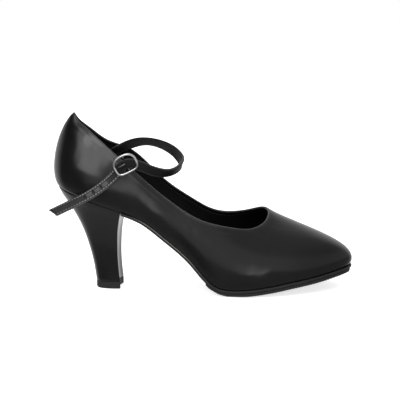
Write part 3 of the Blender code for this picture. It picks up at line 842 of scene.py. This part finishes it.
def sole_sides(start_outer, start_inner, offset, count, toe_inset=0.0):
    """Both edges from a start place to the toe, points closer at the toe: plan and outward."""
    share = np.sin(np.linspace(0.0, math.pi / 2.0, count))
    offset = offset - toe_inset * np.linspace(0.0, 1.0, count)[:, None] ** 6
    sides = []
    for start, tip in ((start_outer, -TOE_TIP), (start_inner, TOE_TIP)):
        plan, outward, _ = LAST.foot(start + (LAST.toe + tip - start) * share)
        sides.append((plan + offset * outward, outward))
    return sides


def sole_loops(sides, top, under, curve, across, lift=0.0):
    """Closed cross-sections: over the top from edge to edge, round each edge and back underneath.

    An edge is a half superellipse: out = -curve*(1 - cos^power), height by sin^power.
    """
    angle = np.linspace(-0.5 * math.pi, 0.5 * math.pi, 9)
    out = -curve * (1.0 - np.abs(np.cos(angle)) ** EDGE_POWER)
    rise = 0.5 + 0.5 * bent(np.sin(angle), EDGE_POWER)

    def edge(plan, outward):
        flat = plan[:, None] + out[:, None] * outward[:, None]
        low = under(flat[..., 0]) + lift
        return lifted(flat, low + (top(flat[..., 0]) - low) * rise)

    outer = edge(*sides[0])
    inner = edge(*sides[1])[:, ::-1]
    share = np.linspace(0.0, 1.0, across)[1:-1]
    share = share - EDGE_CROWD * np.sin(2.0 * math.pi * share)
    ahead = between(outer[:, -1:, :2], inner[:, :1, :2], share[:, None])
    behind = between(inner[:, -1:, :2], outer[:, :1, :2], share[:, None])
    rim = np.clip(1.0 - np.minimum(share, 1.0 - share) / EDGE_SHARE, 0.0, 1.0) ** 1.5
    over = lifted(ahead, top(ahead[..., 0]))
    beneath = lifted(behind, under(behind[..., 0]) + lift * rim)
    return np.concatenate([outer, over, inner, beneath], axis=1)


def build_insole(paint):
    """Sock-covered insole inside the wall, with soft edges."""
    sides = sole_sides(INSOLE_START, LAST.period - INSOLE_START, -(WALL + 2.0 * GAP), count=170)
    loops = sole_loops(sides, lambda x: below(x, -INSOLE), bottom, curve=0.8, across=14)
    add_rings("insole_sock", "insole", loops, lining_cloth(paint.lining))


def build_outsole(paint):
    """Thin leather sole from the heel breast to the toe, with a rounded inked edge."""
    start = BREAST_X + GAP
    sides = sole_sides(LAST.place_at(start, -1), LAST.place_at(start, 1), SOLE_EDGE, count=190)
    for plan, _ in sides:
        plan[0, 0] = start
    loops = sole_loops(sides, lambda x: below(x, SEAT_GAP), lambda x: below(x, GAP + OUTSOLE), curve=0.5,
                       across=14)
    loops[0, :, 0] = start
    # Painted highlight along the top of the outsole's edge at the waist
    edge_highlight = np.zeros(loops.shape[:2])
    edge_highlight[:, SOLE_HIGHLIGHT_COLUMNS] = 1.0
    edge_highlight *= smooth(loops[..., 0], *SOLE_HIGHLIGHT_START) * (1.0 - smooth(loops[..., 0], *SOLE_HIGHLIGHT_END))
    add_rings("outsole_edge", "outsole", loops, sole_leather(paint.sole), {"edge_highlight": edge_highlight})


def build_half_sole(sizes, paint):
    """Rubber forefoot sole: ribs cut upwards across its underside, thinned to a step at its back end."""
    pitch = sizes.rib_pitch / MM
    depth = sizes.rib_depth / MM

    def tread(x):
        rib = 0.5 - 0.5 * np.cos(2.0 * math.pi * (x - HALF_SOLE_X) / pitch)
        thin = FEATHER_DEPTH * np.clip(1.0 - (x - HALF_SOLE_X) / FEATHER_RUN, 0.0, 1.0)
        floor = np.maximum(0.0, below(x, SOLE_STACK + FLAT_DEPTH - thin))
        return floor + depth * rib ** 3 * smooth(x, HALF_SOLE_X, HALF_SOLE_X + RIB_FADE)

    sides = sole_sides(LAST.place_at(HALF_SOLE_X, -1), LAST.place_at(HALF_SOLE_X, 1), HALF_SOLE_EDGE,
                       count=360, toe_inset=TOE_INSET)
    loops = sole_loops(sides, lambda x: below(x, 2.0 * GAP + OUTSOLE), tread, curve=0.45, across=26,
                       lift=EDGE_LIFT)
    loops[0, :, 0] = HALF_SOLE_X
    height = loops[..., 2] - np.min(loops[..., 2], axis=1)[:, None]
    floor = 1.0 - smooth(height, *SOLE_DUST)
    add_rings("half_sole_rubber", "half_sole", loops, worn_rubber(paint.rubber), {"floor": floor})


def seat_outline():
    """Foot line of the upper round the heel seat, from outer breast to inner breast."""
    first = LAST.place_at(BREAST_X, -1)
    last = LAST.place_at(BREAST_X, 1) - LAST.period
    plan = LAST.foot(np.linspace(first, last, 160))[0]
    plan[[0, -1], 0] = BREAST_X
    return plan


def heel_outline(level, seat, count, curve):
    """Closed outline of the heel at a level, its breast corners rounded by a bell-shaped average."""
    back, breast, width = (float(even_line(HEEL_ROWS[:, 0], HEEL_ROWS[:, k], np.array([level]))[0])
                           for k in (1, 2, 3))
    depth = (BREAST_X - seat[:, 0]) / (BREAST_X - seat[:, 0].min())
    side = np.stack([breast - (breast - back) * depth, seat[:, 1] * width], axis=1)
    share = np.linspace(0.0, 1.0, 60)[1:, None]
    face = between(side[-1], side[0], share)
    narrow = (1.0 - width) / (1.0 - HEEL_ROWS[0, 3])
    face[:, 0] -= BREAST_HOLLOW * np.sin(math.pi * share[:, 0]) * narrow
    line = np.concatenate([side, face])
    run = arc_length(line)
    dense = 1200
    at = np.arange(dense) * run[-1] / dense
    even = np.stack([np.interp(at, run, line[:, k]) for k in (0, 1)], axis=1)
    spread = curve / (run[-1] / dense)
    blur = np.exp(-2.0 * (math.pi * np.fft.fftfreq(dense) * spread) ** 2)[:, None]
    soft = np.real(np.fft.ifft(np.fft.fft(even, axis=0) * blur, axis=0))
    return soft[(np.arange(count) * dense) // count]


def shrink(loop, inset):
    """A loop drawn in towards its middle by an inset in mm."""
    arm = loop - loop.mean(axis=0)
    return loop - arm / np.linalg.norm(arm[:, :2], axis=1)[:, None] * inset


def build_heel(paint):
    """Covered heel: outlines from tip to seat stacked up to the seat's own slope, edges eased."""
    count = 240
    seat = seat_outline()
    seat_z = below(heel_outline(1.0, seat, count, HEEL_CURVE)[:, 0], GAP)
    foot_z = TIP_HEIGHT + SEAT_GAP
    plain = [(level, 0.0) for level in np.linspace(0.01, 0.985, 52)]
    loops = []
    for level, inset in HEEL_FOOT_ROWS + plain + HEEL_TOP_ROWS:
        plan = heel_outline(level, seat, count, HEEL_CURVE)
        loops.append(shrink(lifted(plan, foot_z + (seat_z - foot_z) * level), inset))
    top = loops[-1]
    middle = top.mean(axis=0)
    for share in HEEL_CAP_SHARES:
        cap = middle + (top - middle) * share
        cap[:, 2] = below(cap[:, 0], GAP)
        loops.append(cap)
    loops = np.array(loops)
    add_rings("heel_cover", "heel", loops, satin_leather(paint.leather),
              {"edge_wear_and_highlight": np.zeros(loops.shape[:2])})


def build_heel_tip(paint):
    """Rubber top piece with eased edges, flat on the floor."""
    plan = heel_outline(0.0, seat_outline(), 180, TIP_CURVE)
    level = np.ones(len(plan))
    loops = np.array([shrink(lifted(plan, level * height), inset) for height, inset in TIP_ROWS])
    floor = 1.0 - smooth(loops[..., 2], *TIP_DUST)
    add_rings("heel_tip_rubber", "heel_tip", loops, worn_rubber(paint.rubber), {"floor": floor})


def strap_frames(at):
    """Middle line of the strap at distances along it, with its run, outward and upward directions."""
    behind, line, ahead = (spline(STRAP_KNOTS, STRAP_ROWS, at + step) for step in (-0.05, 0.0, 0.05))
    run = unit(ahead[:, :3] - behind[:, :3])
    outward = unit(np.cross(np.array([0.0, 0.0, 1.0]), run))
    upward = np.cross(run, outward)
    upward = upward * np.sign(upward[:, 2:3])
    lean = np.radians(line[:, 3:4])
    face = outward * np.cos(lean) - upward * np.sin(lean)
    edge = upward * np.cos(lean) + outward * np.sin(lean)
    return line[:, :3], run, face, edge


def strap_half(up):
    """Half the strap's thickness, which falls off with the fourth power towards its edges."""
    return STRAP_THICK / 2.0 * (1.0 - STRAP_FALL * (up / (STRAP_WIDTH / 2.0)) ** 4)


def tail_share(at, span):
    """Share from 0 to 1 along the strap between two distances from the tail's end."""
    return smooth(at, STRAP_LENGTH - span[0], STRAP_LENGTH - span[1])


def build_strap(sizes, paint):
    """Padded strap: a flat loop profile carried along its line, with stitch troughs and punched holes.

    A hole is a steep round dip from both faces; the tail's end is slanted by a push along the run.
    """
    pitch = sizes.hole_pitch / MM
    holes = STRAP_LENGTH - sizes.hole_first / MM - pitch * np.arange(HOLE_COUNT)
    radius = 0.5 * sizes.hole_size / MM
    reach = radius + HOLE_RIM
    near = holes[:, None] + np.linspace(-reach, reach, 17)
    at = np.concatenate([np.linspace(0.0, STRAP_LENGTH, 280), near.ravel()])
    at = np.unique(np.round(at, 3))
    half_w, half_t = STRAP_WIDTH / 2.0, STRAP_THICK / 2.0
    flat = half_w - STRAP_EASE
    wide = np.concatenate([np.linspace(0.0, reach, 11), np.linspace(reach, flat, 14)[1:]])
    wide = np.concatenate([-wide[:0:-1], wide])
    trough = TROUGH_DEPTH * bell(np.abs(wide) - (half_w - sizes.stitch_inset / MM), TROUGH_WIDTH)
    off = np.min(np.hypot(at[:, None, None] - holes, wide[:, None]), axis=2)
    dip = 1.0 - smooth(off, radius - HOLE_SOFT, radius + HOLE_SOFT)
    thick = strap_half(wide) - trough - dip * (half_t - HOLE_WEB)
    angle = np.linspace(0.5 * math.pi, -0.5 * math.pi, 9)[1:-1]
    corner_out = np.tile(strap_half(half_w) * bent(np.sin(angle), CORNER_POWER), (len(at), 1))
    corner_up = flat + STRAP_EASE * np.cos(angle) ** CORNER_POWER
    out = np.concatenate([thick, corner_out, -thick[:, ::-1], -corner_out], axis=1)
    up = np.concatenate([wide, corner_up, wide[::-1], -corner_up])
    path, run, face, edge = strap_frames(at)
    slant = np.clip(1.0 - (STRAP_LENGTH - at) / TAIL_REACH, 0.0, 1.0) * math.tan(TAIL_SLANT)
    forward = slant[:, None] * (up - half_w)
    loops = path[:, None] + face[:, None] * out[..., None] + edge[:, None] * up[:, None] \
        + run[:, None] * forward[..., None]
    along = np.min(np.abs(at[:, None] - (holes - 0.5 * pitch)), axis=1)[:, None]
    # Paler tail past the buckle and paler panels between the holes: part wear, part painted light
    fields = {
        "edge_wear_and_highlight": np.tile(bell(half_w - np.abs(up), STRAP_RUB), (len(at), 1)),
        "wear_and_light": np.tile(tail_share(at, TAIL_WEAR_AND_LIGHT)[:, None], (1, len(up))),
        "panel_wear_and_light": (1.0 - smooth(along, *PANEL_LONG)) * (1.0 - smooth(np.abs(up), *PANEL_WIDE)),
    }
    add_rings("ankle_strap", "strap", loops, strap_leather(paint.strap), fields)


def build_strap_stitches(sizes, paint):
    """Two rows of stitches on both faces of the strap, in its stitch troughs.

    Each is a thin ring tube along the run that rises out and dips at both ends.
    """
    at = np.arange(STITCH_END, STRAP_LENGTH - STITCH_END, sizes.stitch_pitch / MM)
    # Paler thread on the tail, part wear and part painted light, dimmed near its end
    wear_and_light = tail_share(at, THREAD_WEAR_AND_LIGHT) * (1.0 - 0.5 * tail_share(at, THREAD_END_DIM))
    path, run, face, edge = strap_frames(at)
    up = STRAP_WIDTH / 2.0 - sizes.stitch_inset / MM
    level = strap_half(up) - STITCH_SINK
    rows = [(side, row) for side in (1.0, -1.0) for row in (1.0, -1.0)]
    base = np.concatenate([path + face * (side * level) + edge * (row * up) for side, row in rows])
    out = np.concatenate([face * side for side, _ in rows])
    run = np.tile(run, (len(rows), 1))
    thick = sizes.stitch_thick / MM
    step = np.linspace(-1.0, 1.0, 7)
    arch = 1.0 - step ** 4
    swell = thick * 0.5 * (STITCH_TIP + (1.0 - STITCH_TIP) * np.sqrt(arch))
    reach = 0.5 * step * sizes.stitch_length / MM
    rise = thick * (STITCH_RISE * arch - STITCH_DIP)
    centre = base[:, None] + run[:, None] * reach[:, None] + out[:, None] * rise[:, None]
    angle = np.arange(6)[:, None] * math.pi / 3.0
    turn = np.cross(run, out)[:, None] * np.cos(angle) + out[:, None] * np.sin(angle)
    points = centre[:, :, None] + turn[:, None] * swell[:, None, None]
    count, rings, sides = points.shape[:3]
    shift = (np.arange(count) * rings * sides)[:, None]
    faces = (quads(rings, sides, False, True) + shift[..., None]).reshape(-1, 4)
    starts = np.arange(sides)[::-1] + shift
    ends = np.arange((rings - 1) * sides, rings * sides) + shift
    add_piece("strap_stitches", None, points, faces, [*starts, *ends],
              sewing_thread(paint.thread), {"wear_and_light": np.repeat(np.tile(wear_and_light, len(rows)), rings * sides)})


def buckle_point(long, short, out):
    """Point of the buckle from its own axes: along the strap, across it and out from the quarter."""
    x0, y0, z0 = FRAME_CENTRE
    c, s = math.cos(FRAME_TURN), math.sin(FRAME_TURN)
    return np.stack([x0 + long * c - short * s, y0 - out, z0 + long * s + short * c], axis=-1)


def build_buckle(paint):
    """Flat wire frame as a closed superellipse, squarer below, with the prong along the strap.

    The axle is a staple behind the strap whose legs come up inside the frame's sides.
    """
    count = 220
    angle = np.arange(count) * 2.0 * math.pi / count
    mean = 0.5 * (FRAME_SQUARE + FRAME_ROUND)
    power = 2.0 / (mean - 0.5 * (FRAME_SQUARE - FRAME_ROUND) * np.tanh(FRAME_BLEND * np.sin(angle)))
    long = FRAME_LONG * bent(np.cos(angle), power)
    short = FRAME_SHORT * bent(np.sin(angle), power)
    face = STRAP_THICK / 2.0 + GAP
    front = face + FRAME_WIRE
    loops = tube_rings(buckle_point(long, short, np.full(count, front)), FRAME_WIRE, 20, closed=True)
    bright = polished_wire("bright_wire", paint.metal)
    add_rings("buckle_wire", "buckle_frame", loops, bright, joined=True)
    behind = -(face + BAR_WIRE)
    turn = np.linspace(0.0, math.pi / 2.0, 9)
    leg = np.linspace(front, behind + BAR_BEND, 10)[:-1]
    short = np.concatenate([np.full(len(leg), BAR_SIDE), BAR_SIDE - BAR_BEND * (1.0 - np.cos(turn))])
    out = np.concatenate([leg, behind + BAR_BEND * (1.0 - np.sin(turn))])
    short = np.concatenate([short, -short[::-1]])
    out = np.concatenate([out, out[::-1]])
    run = unit(np.stack([np.gradient(short), np.gradient(out)], axis=1))
    angle = np.arange(16) * math.pi / 8.0
    off = BAR_WIRE * np.sin(angle)
    loops = buckle_point(np.tile(BAR_WIRE * np.cos(angle), (len(short), 1)),
                         short[:, None] - run[:, 1:] * off, out[:, None] + run[:, :1] * off)
    # Painted shade: the axle wire is darkened to stand for the shade inside the frame
    dark = polished_wire("dark_wire", paint.axle)
    add_rings("buckle_axle", "buckle_bar", loops, dark)
    share = np.linspace(0.0, 1.0, 40)
    long = PRONG_BACK - (FRAME_LONG - FRAME_WIRE - GAP + PRONG_BACK) * share
    out = face + PRONG_WIRE + PRONG_ARCH * np.sin(math.pi * share)
    past = ((np.abs(share - 0.5) - PRONG_STRAIGHT) / PRONG_ROUND).clip(0.0)
    size = PRONG_WIRE * (1.0 - PRONG_TAPER * share) * np.sqrt(np.clip(1.0 - past ** 2, 0.0, 1.0))
    loops = tube_rings(buckle_point(long, np.zeros(len(share)), out), size, 16)
    # Painted shade: the prong's wire is darkened so that its reflection stays dim
    prong_shade = polished_wire("prong_wire_painted_shade", paint.prong)
    add_rings("buckle_tongue", "buckle_prong", loops, prong_shade)


def build_buckle_tab(paint):
    """Leather tab cut from the wall's own face, with eased edges."""
    place = np.linspace(LAST.place_at(TAB_FROM, -1), LAST.place_at(TAB_TO, -1), 34)
    level = np.linspace(TAB_LEVEL, TAB_TOP, 20)[:, None]
    face = LAST.wall(place, level)
    normal = LAST.normal(place, level)
    rows, columns = face.shape[:2]
    count = rows * columns
    off = np.maximum(np.abs(np.linspace(-1.0, 1.0, columns)), np.abs(np.linspace(-1.0, 1.0, rows))[:, None])
    thick = TAB_THICK * (1.0 - TAB_EASE * off ** 10)
    over = face + normal * (GAP + thick)[..., None]
    under = face + normal * GAP
    first = quads(rows, columns, False, False)
    index = np.arange(count).reshape(rows, columns)
    border = np.concatenate([index[0], index[1:, -1], index[-1, -2::-1], index[-2:0:-1, 0]])
    after = np.roll(border, -1)
    walls = np.stack([after, border, border + count, after + count], axis=1)
    plain = np.zeros(2 * count)
    edge_wear_and_highlight = np.concatenate([(off ** 12).ravel(), np.zeros(count)])
    add_piece("buckle_tab_leather", "buckle_tab", np.concatenate([over, under]),
              np.concatenate([first, first[:, ::-1] + count, walls]), [], strap_leather(paint.strap),
              {"edge_wear_and_highlight": edge_wear_and_highlight, "wear_and_light": plain, "panel_wear_and_light": plain})


# Stage


def add_light(name, kind, place, target, roll, power, glossy, settings):
    """A lamp that looks at a target with its top up, then rolled about the way it looks."""
    lamp = bpy.data.lights.new(name, kind)
    lamp.energy = power
    for key, value in settings.items():
        setattr(lamp, key, value)
    light = bpy.data.objects.new(name, lamp)
    light.location = place
    look = (Vector(target) - Vector(place)).to_track_quat("-Z", "Y")
    light.rotation_euler = (look @ Quaternion((0.0, 0.0, 1.0), roll)).to_euler()
    light.visible_glossy = glossy
    light.visible_camera = False
    bpy.context.scene.collection.objects.link(light)


def build_floor(stage):
    """A wide pale floor, slightly uneven in tone."""
    size = np.linspace(-4.0, 4.0, 9)
    grid = np.stack(np.meshgrid(size, size, [0.0], indexing="ij"), axis=-1).reshape(-1, 3)
    mesh = bpy.data.meshes.new("floor")
    faces = quads(len(size), len(size), False, False)[:, ::-1]
    mesh.from_pydata(grid.tolist(), [], faces.tolist())
    floor = bpy.data.objects.new("floor", mesh)
    bpy.context.scene.collection.objects.link(floor)
    f = Finish("pale_floor")
    f.set(Base_Color=f.tint(f.noise(3.0), stage.floor, 0.99, 1.0), Roughness=0.9,
          Emission_Color=(1.0, 1.0, 1.0, 1.0), Emission_Strength=stage.floor_light)
    mesh.materials.append(f.material)
    floor.visible_glossy = False


class Sky(Finish):
    """The world's nodes, built in the same way as a material's."""

    def __init__(self, name):
        self.world = bpy.data.worlds.new(name)
        self.world.use_nodes = True
        self.tree = self.world.node_tree
        self.shader = self.tree.nodes["Background"]

    def blend(self, share, first, second):
        """Number between two others by a share."""
        return self.node("Mix", {"data_type": "FLOAT"}, {0: share, 2: first, 3: second})


def build_world(stage):
    """White backdrop for the eye; gloss sees a dark left, a lighter front, a dim band over a pale floor."""
    sky = Sky("studio")
    way = sky.node("TexCoord", {}, {}, out="Generated")
    x, y, z = (sky.node("SeparateXYZ", {}, {0: way}, out=axis) for axis in "XYZ")
    over = z + LINE_DROP + LINE_DIP * sky.ramp(x, *LINE_DIP_X) - LINE_RISE * sky.ramp(x, *LINE_RISE_X)
    strip = (1.0 - sky.ramp(over, *STRIP_Z)) * sky.ramp(x, *STRIP_IN_X) * (1.0 - sky.ramp(x, *STRIP_OUT_X))
    front = stage.room_front * (1.0 + stage.strip * strip)
    room = sky.blend(sky.ramp(x, *LEFT_X), stage.room_left, front)
    room = sky.blend(sky.ramp(x, *RIGHT_X), room, stage.room_right)
    room = room * (1.0 - TOP_DIM * sky.ramp(z, *TOP_Z))
    glow = sky.blend(sky.ramp(x, *GLOW_X), stage.floor_glow, stage.room_low)
    low = sky.blend(sky.ramp(z, *GLOW_Z), glow, stage.room_low)
    low = low * (1.0 - CORNER_DIM * sky.ramp(z, *CORNER_Z) * (1.0 - sky.ramp(x, *CORNER_X)))
    room = sky.blend(sky.ramp(over, *LINE_SOFT), low, room)
    room = sky.blend(sky.ramp(y - BACKDROP_SLANT * x, *BACKDROP_Y), room, stage.backdrop)
    ray = sky.node("LightPath", {}, {}, out="Is Camera Ray")
    sky.set(Strength=sky.blend(ray, room, 1.0), Color=(1.0, 1.0, 1.0, 1.0))
    bpy.context.scene.world = sky.world


def build_camera(stage):
    """Camera at the photo's angle: azimuth, elevation and roll about the target."""
    a, e, r = stage.azimuth, stage.elevation, stage.roll
    back = Vector((math.sin(a) * math.cos(e), -math.cos(a) * math.cos(e), math.sin(e)))
    level = Vector((math.cos(a), math.sin(a), 0.0))
    rise = back.cross(level)
    right = level * math.cos(r) - rise * math.sin(r)
    up = level * math.sin(r) + rise * math.cos(r)
    data = bpy.data.cameras.new("camera")
    data.lens = stage.lens
    data.sensor_width = 36.0
    data.clip_end = 50.0
    camera = bpy.data.objects.new("camera", data)
    turn = Matrix((right, up, back)).transposed().to_4x4()
    turn.translation = Vector(stage.target) + back * stage.distance
    camera.matrix_world = turn
    bpy.context.scene.collection.objects.link(camera)
    bpy.context.scene.camera = camera


# Add-on


def number_prop(name, text, default, **kind):
    """A number for a group, with a unit or subtype where one fits."""
    return FloatProperty(name=name, description=text, default=default, **kind)


def length_prop(name, text, default):
    """A length in metres for a group."""
    return number_prop(name, text, default, unit="LENGTH")


def angle_prop(name, text, degrees):
    """An angle for a group."""
    return number_prop(name, text, math.radians(degrees), subtype="ANGLE")


def colour_prop(name, text, *default):
    """A colour for a group."""
    return FloatVectorProperty(name=name, description=text, size=3, subtype="COLOR", default=default)


class ShoeSizes(bpy.types.PropertyGroup):
    """Sizes of the fine details."""

    topline_bead: length_prop("Topline bead", "Height of the rounded topline edge", 0.0009)
    crease_depth: length_prop("Crease depth", "Height of the deepest flex crease", CREASE_DEPTH)
    rib_pitch: length_prop("Rib pitch", "Distance between ribs of the half sole", 0.0022)
    rib_depth: length_prop("Rib depth", "Depth of the grooves between ribs", 0.0004)
    stitch_length: length_prop("Stitch length", "Length of one stitch", 0.0016)
    stitch_pitch: length_prop("Stitch pitch", "Distance from stitch to stitch", 0.0023)
    stitch_thick: length_prop("Thread", "Thickness of the thread", 0.00065)
    stitch_inset: length_prop("Stitch inset", "Distance of stitches from the strap's edge", 0.0012)
    hole_size: length_prop("Hole size", "Diameter of the punched holes", 0.002)
    hole_first: length_prop("First hole", "Distance of the first hole from the tail's end", 0.0304)
    hole_pitch: length_prop("Hole pitch", "Distance between punched holes", 0.0071)


class ShoePaint(bpy.types.PropertyGroup):
    """Colours of the finishes."""

    leather: colour_prop("Leather", "Colour of upper and heel cover", 0.0043, 0.0043, 0.0048)
    strap: colour_prop("Strap", "Colour of strap and tab", 0.004, 0.004, 0.004)
    lining: colour_prop("Lining", "Colour of lining and sock", 0.004, 0.004, 0.0045)
    sole: colour_prop("Sole", "Colour of the leather sole", 0.012, 0.012, 0.012)
    rubber: colour_prop("Rubber", "Colour of half sole and heel tip", 0.011, 0.011, 0.011)
    metal: colour_prop("Metal", "Colour of the buckle wire", 0.82, 0.82, 0.84)
    # Painted shade: the prong's colour is darker than the frame's to keep its reflection dim
    prong: colour_prop("Prong", "Colour of the shaded prong", 0.13, 0.125, 0.12)
    # Painted shade: the axle's colour stands for the shade inside the frame
    axle: colour_prop("Axle", "Colour of the darkened axle wire", 0.03, 0.03, 0.03)
    thread: colour_prop("Thread", "Colour of the stitches", 0.005, 0.005, 0.005)


class ShoeStage(bpy.types.PropertyGroup):
    """Camera and light."""

    azimuth: angle_prop("Azimuth", "Turn of the camera about the shoe", 4.5)
    elevation: angle_prop("Elevation", "Height angle of the camera", 10.0)
    roll: angle_prop("Roll", "Roll of the camera", 0.9)
    distance: length_prop("Distance", "Distance from camera to target", 1.0)
    lens: number_prop("Lens", "Focal length in millimetres", 117.0)
    target: FloatVectorProperty(name="Target", description="Point in the middle of the picture", size=3,
                                subtype="TRANSLATION", default=(0.07059, 0.0, 0.0678))
    floor: colour_prop("Floor", "Colour of the floor", 0.92, 0.92, 0.92)
    floor_light: number_prop("Floor light", "Light that the floor gives off", 0.72)
    key: number_prop("Key light", "Power of the soft light in front, in watts", 2.9)
    key_core: number_prop("Key core", "Power of its brighter middle, in watts", 0.18)
    fill: number_prop("Top light", "Strength of the wide light overhead", 1.6)
    room_left: number_prop("Room left", "Brightness of the room behind the heel", 0.06)
    room_front: number_prop("Room front", "Brightness of the room behind the camera", 0.58)
    room_right: number_prop("Room right", "Brightness of the room before the toe", 0.4)
    room_low: number_prop("Room low", "Brightness of the dim band near the floor", 0.22)
    floor_glow: number_prop("Floor glow", "Brightness of the floor in reflections", 0.38)
    strip: number_prop("Strip", "How much brighter the room is just over its floor line", 2.0)
    backdrop: number_prop("Backdrop", "Brightness of the backdrop", 0.9)


class SHOE_OT_upper(bpy.types.Operator):
    """Build the leather upper and its lining"""

    bl_idname = "dance_shoe.upper"
    bl_label = "Upper and lining"

    def execute(self, context):
        build_upper(context.scene.shoe_sizes, context.scene.shoe_paint)
        build_lining(context.scene.shoe_paint)
        return {"FINISHED"}


class SHOE_OT_soles(bpy.types.Operator):
    """Build the insole, the leather sole and the rubber half sole"""

    bl_idname = "dance_shoe.soles"
    bl_label = "Soles"

    def execute(self, context):
        build_insole(context.scene.shoe_paint)
        build_outsole(context.scene.shoe_paint)
        build_half_sole(context.scene.shoe_sizes, context.scene.shoe_paint)
        return {"FINISHED"}


class SHOE_OT_heel(bpy.types.Operator):
    """Build the covered heel and its rubber tip"""

    bl_idname = "dance_shoe.heel"
    bl_label = "Heel and tip"

    def execute(self, context):
        build_heel(context.scene.shoe_paint)
        build_heel_tip(context.scene.shoe_paint)
        return {"FINISHED"}


class SHOE_OT_strap(bpy.types.Operator):
    """Build the ankle strap and its stitches"""

    bl_idname = "dance_shoe.strap"
    bl_label = "Strap and stitches"

    def execute(self, context):
        build_strap(context.scene.shoe_sizes, context.scene.shoe_paint)
        build_strap_stitches(context.scene.shoe_sizes, context.scene.shoe_paint)
        return {"FINISHED"}


class SHOE_OT_buckle(bpy.types.Operator):
    """Build the buckle and the tab that holds it"""

    bl_idname = "dance_shoe.buckle"
    bl_label = "Buckle and tab"

    def execute(self, context):
        build_buckle(context.scene.shoe_paint)
        build_buckle_tab(context.scene.shoe_paint)
        return {"FINISHED"}


class SHOE_OT_stage(bpy.types.Operator):
    """Set up floor, soft lights, backdrop and camera"""

    bl_idname = "dance_shoe.stage"
    bl_label = "Stage"

    def execute(self, context):
        stage = context.scene.shoe_stage
        build_floor(stage)
        build_world(stage)
        add_light("key_left", "AREA", KEY_PLACE, KEY_TARGET, KEY_ROLL, stage.key, True, KEY_SHAPE)
        add_light("key_core", "AREA", CORE_PLACE, CORE_TARGET, 0.0, stage.key_core, True, CORE_SHAPE)
        add_light("top_soft", "SUN", TOP_PLACE, stage.target, 0.0, stage.fill, False, TOP_SHAPE)
        build_camera(stage)
        context.scene.view_settings.view_transform = "Standard"
        return {"FINISHED"}


class SHOE_PT_panel(bpy.types.Panel):
    """Lists the shoe's pieces and sizes"""

    bl_label = "Dance shoe"
    bl_idname = "SHOE_PT_panel"
    bl_space_type = "VIEW_3D"
    bl_region_type = "UI"
    bl_category = "Dance shoe"

    def draw(self, context):
        for step in STEPS:
            self.layout.operator(step.bl_idname)
        for group in (context.scene.shoe_sizes, context.scene.shoe_paint, context.scene.shoe_stage):
            box = self.layout.box()
            for key in group.__annotations__:
                box.prop(group, key)


STEPS = (SHOE_OT_stage, SHOE_OT_upper, SHOE_OT_soles, SHOE_OT_heel, SHOE_OT_strap, SHOE_OT_buckle)
GROUPS = {"shoe_sizes": ShoeSizes, "shoe_paint": ShoePaint, "shoe_stage": ShoeStage}


def register():
    """Register the groups, the operators and the panel."""
    for key, group in GROUPS.items():
        bpy.utils.register_class(group)
        setattr(bpy.types.Scene, key, PointerProperty(type=group))
    for item in STEPS + (SHOE_PT_panel,):
        bpy.utils.register_class(item)


def unregister():
    """Take the panel, the operators and the groups away again."""
    for item in (SHOE_PT_panel,) + STEPS[::-1]:
        bpy.utils.unregister_class(item)
    for key, group in GROUPS.items():
        delattr(bpy.types.Scene, key)
        bpy.utils.unregister_class(group)


def main():
    """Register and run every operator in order."""
    register()
    bpy.ops.dance_shoe.stage()
    bpy.ops.dance_shoe.upper()
    bpy.ops.dance_shoe.soles()
    bpy.ops.dance_shoe.heel()
    bpy.ops.dance_shoe.strap()
    bpy.ops.dance_shoe.buckle()


if __name__ == "__main__":
    main()
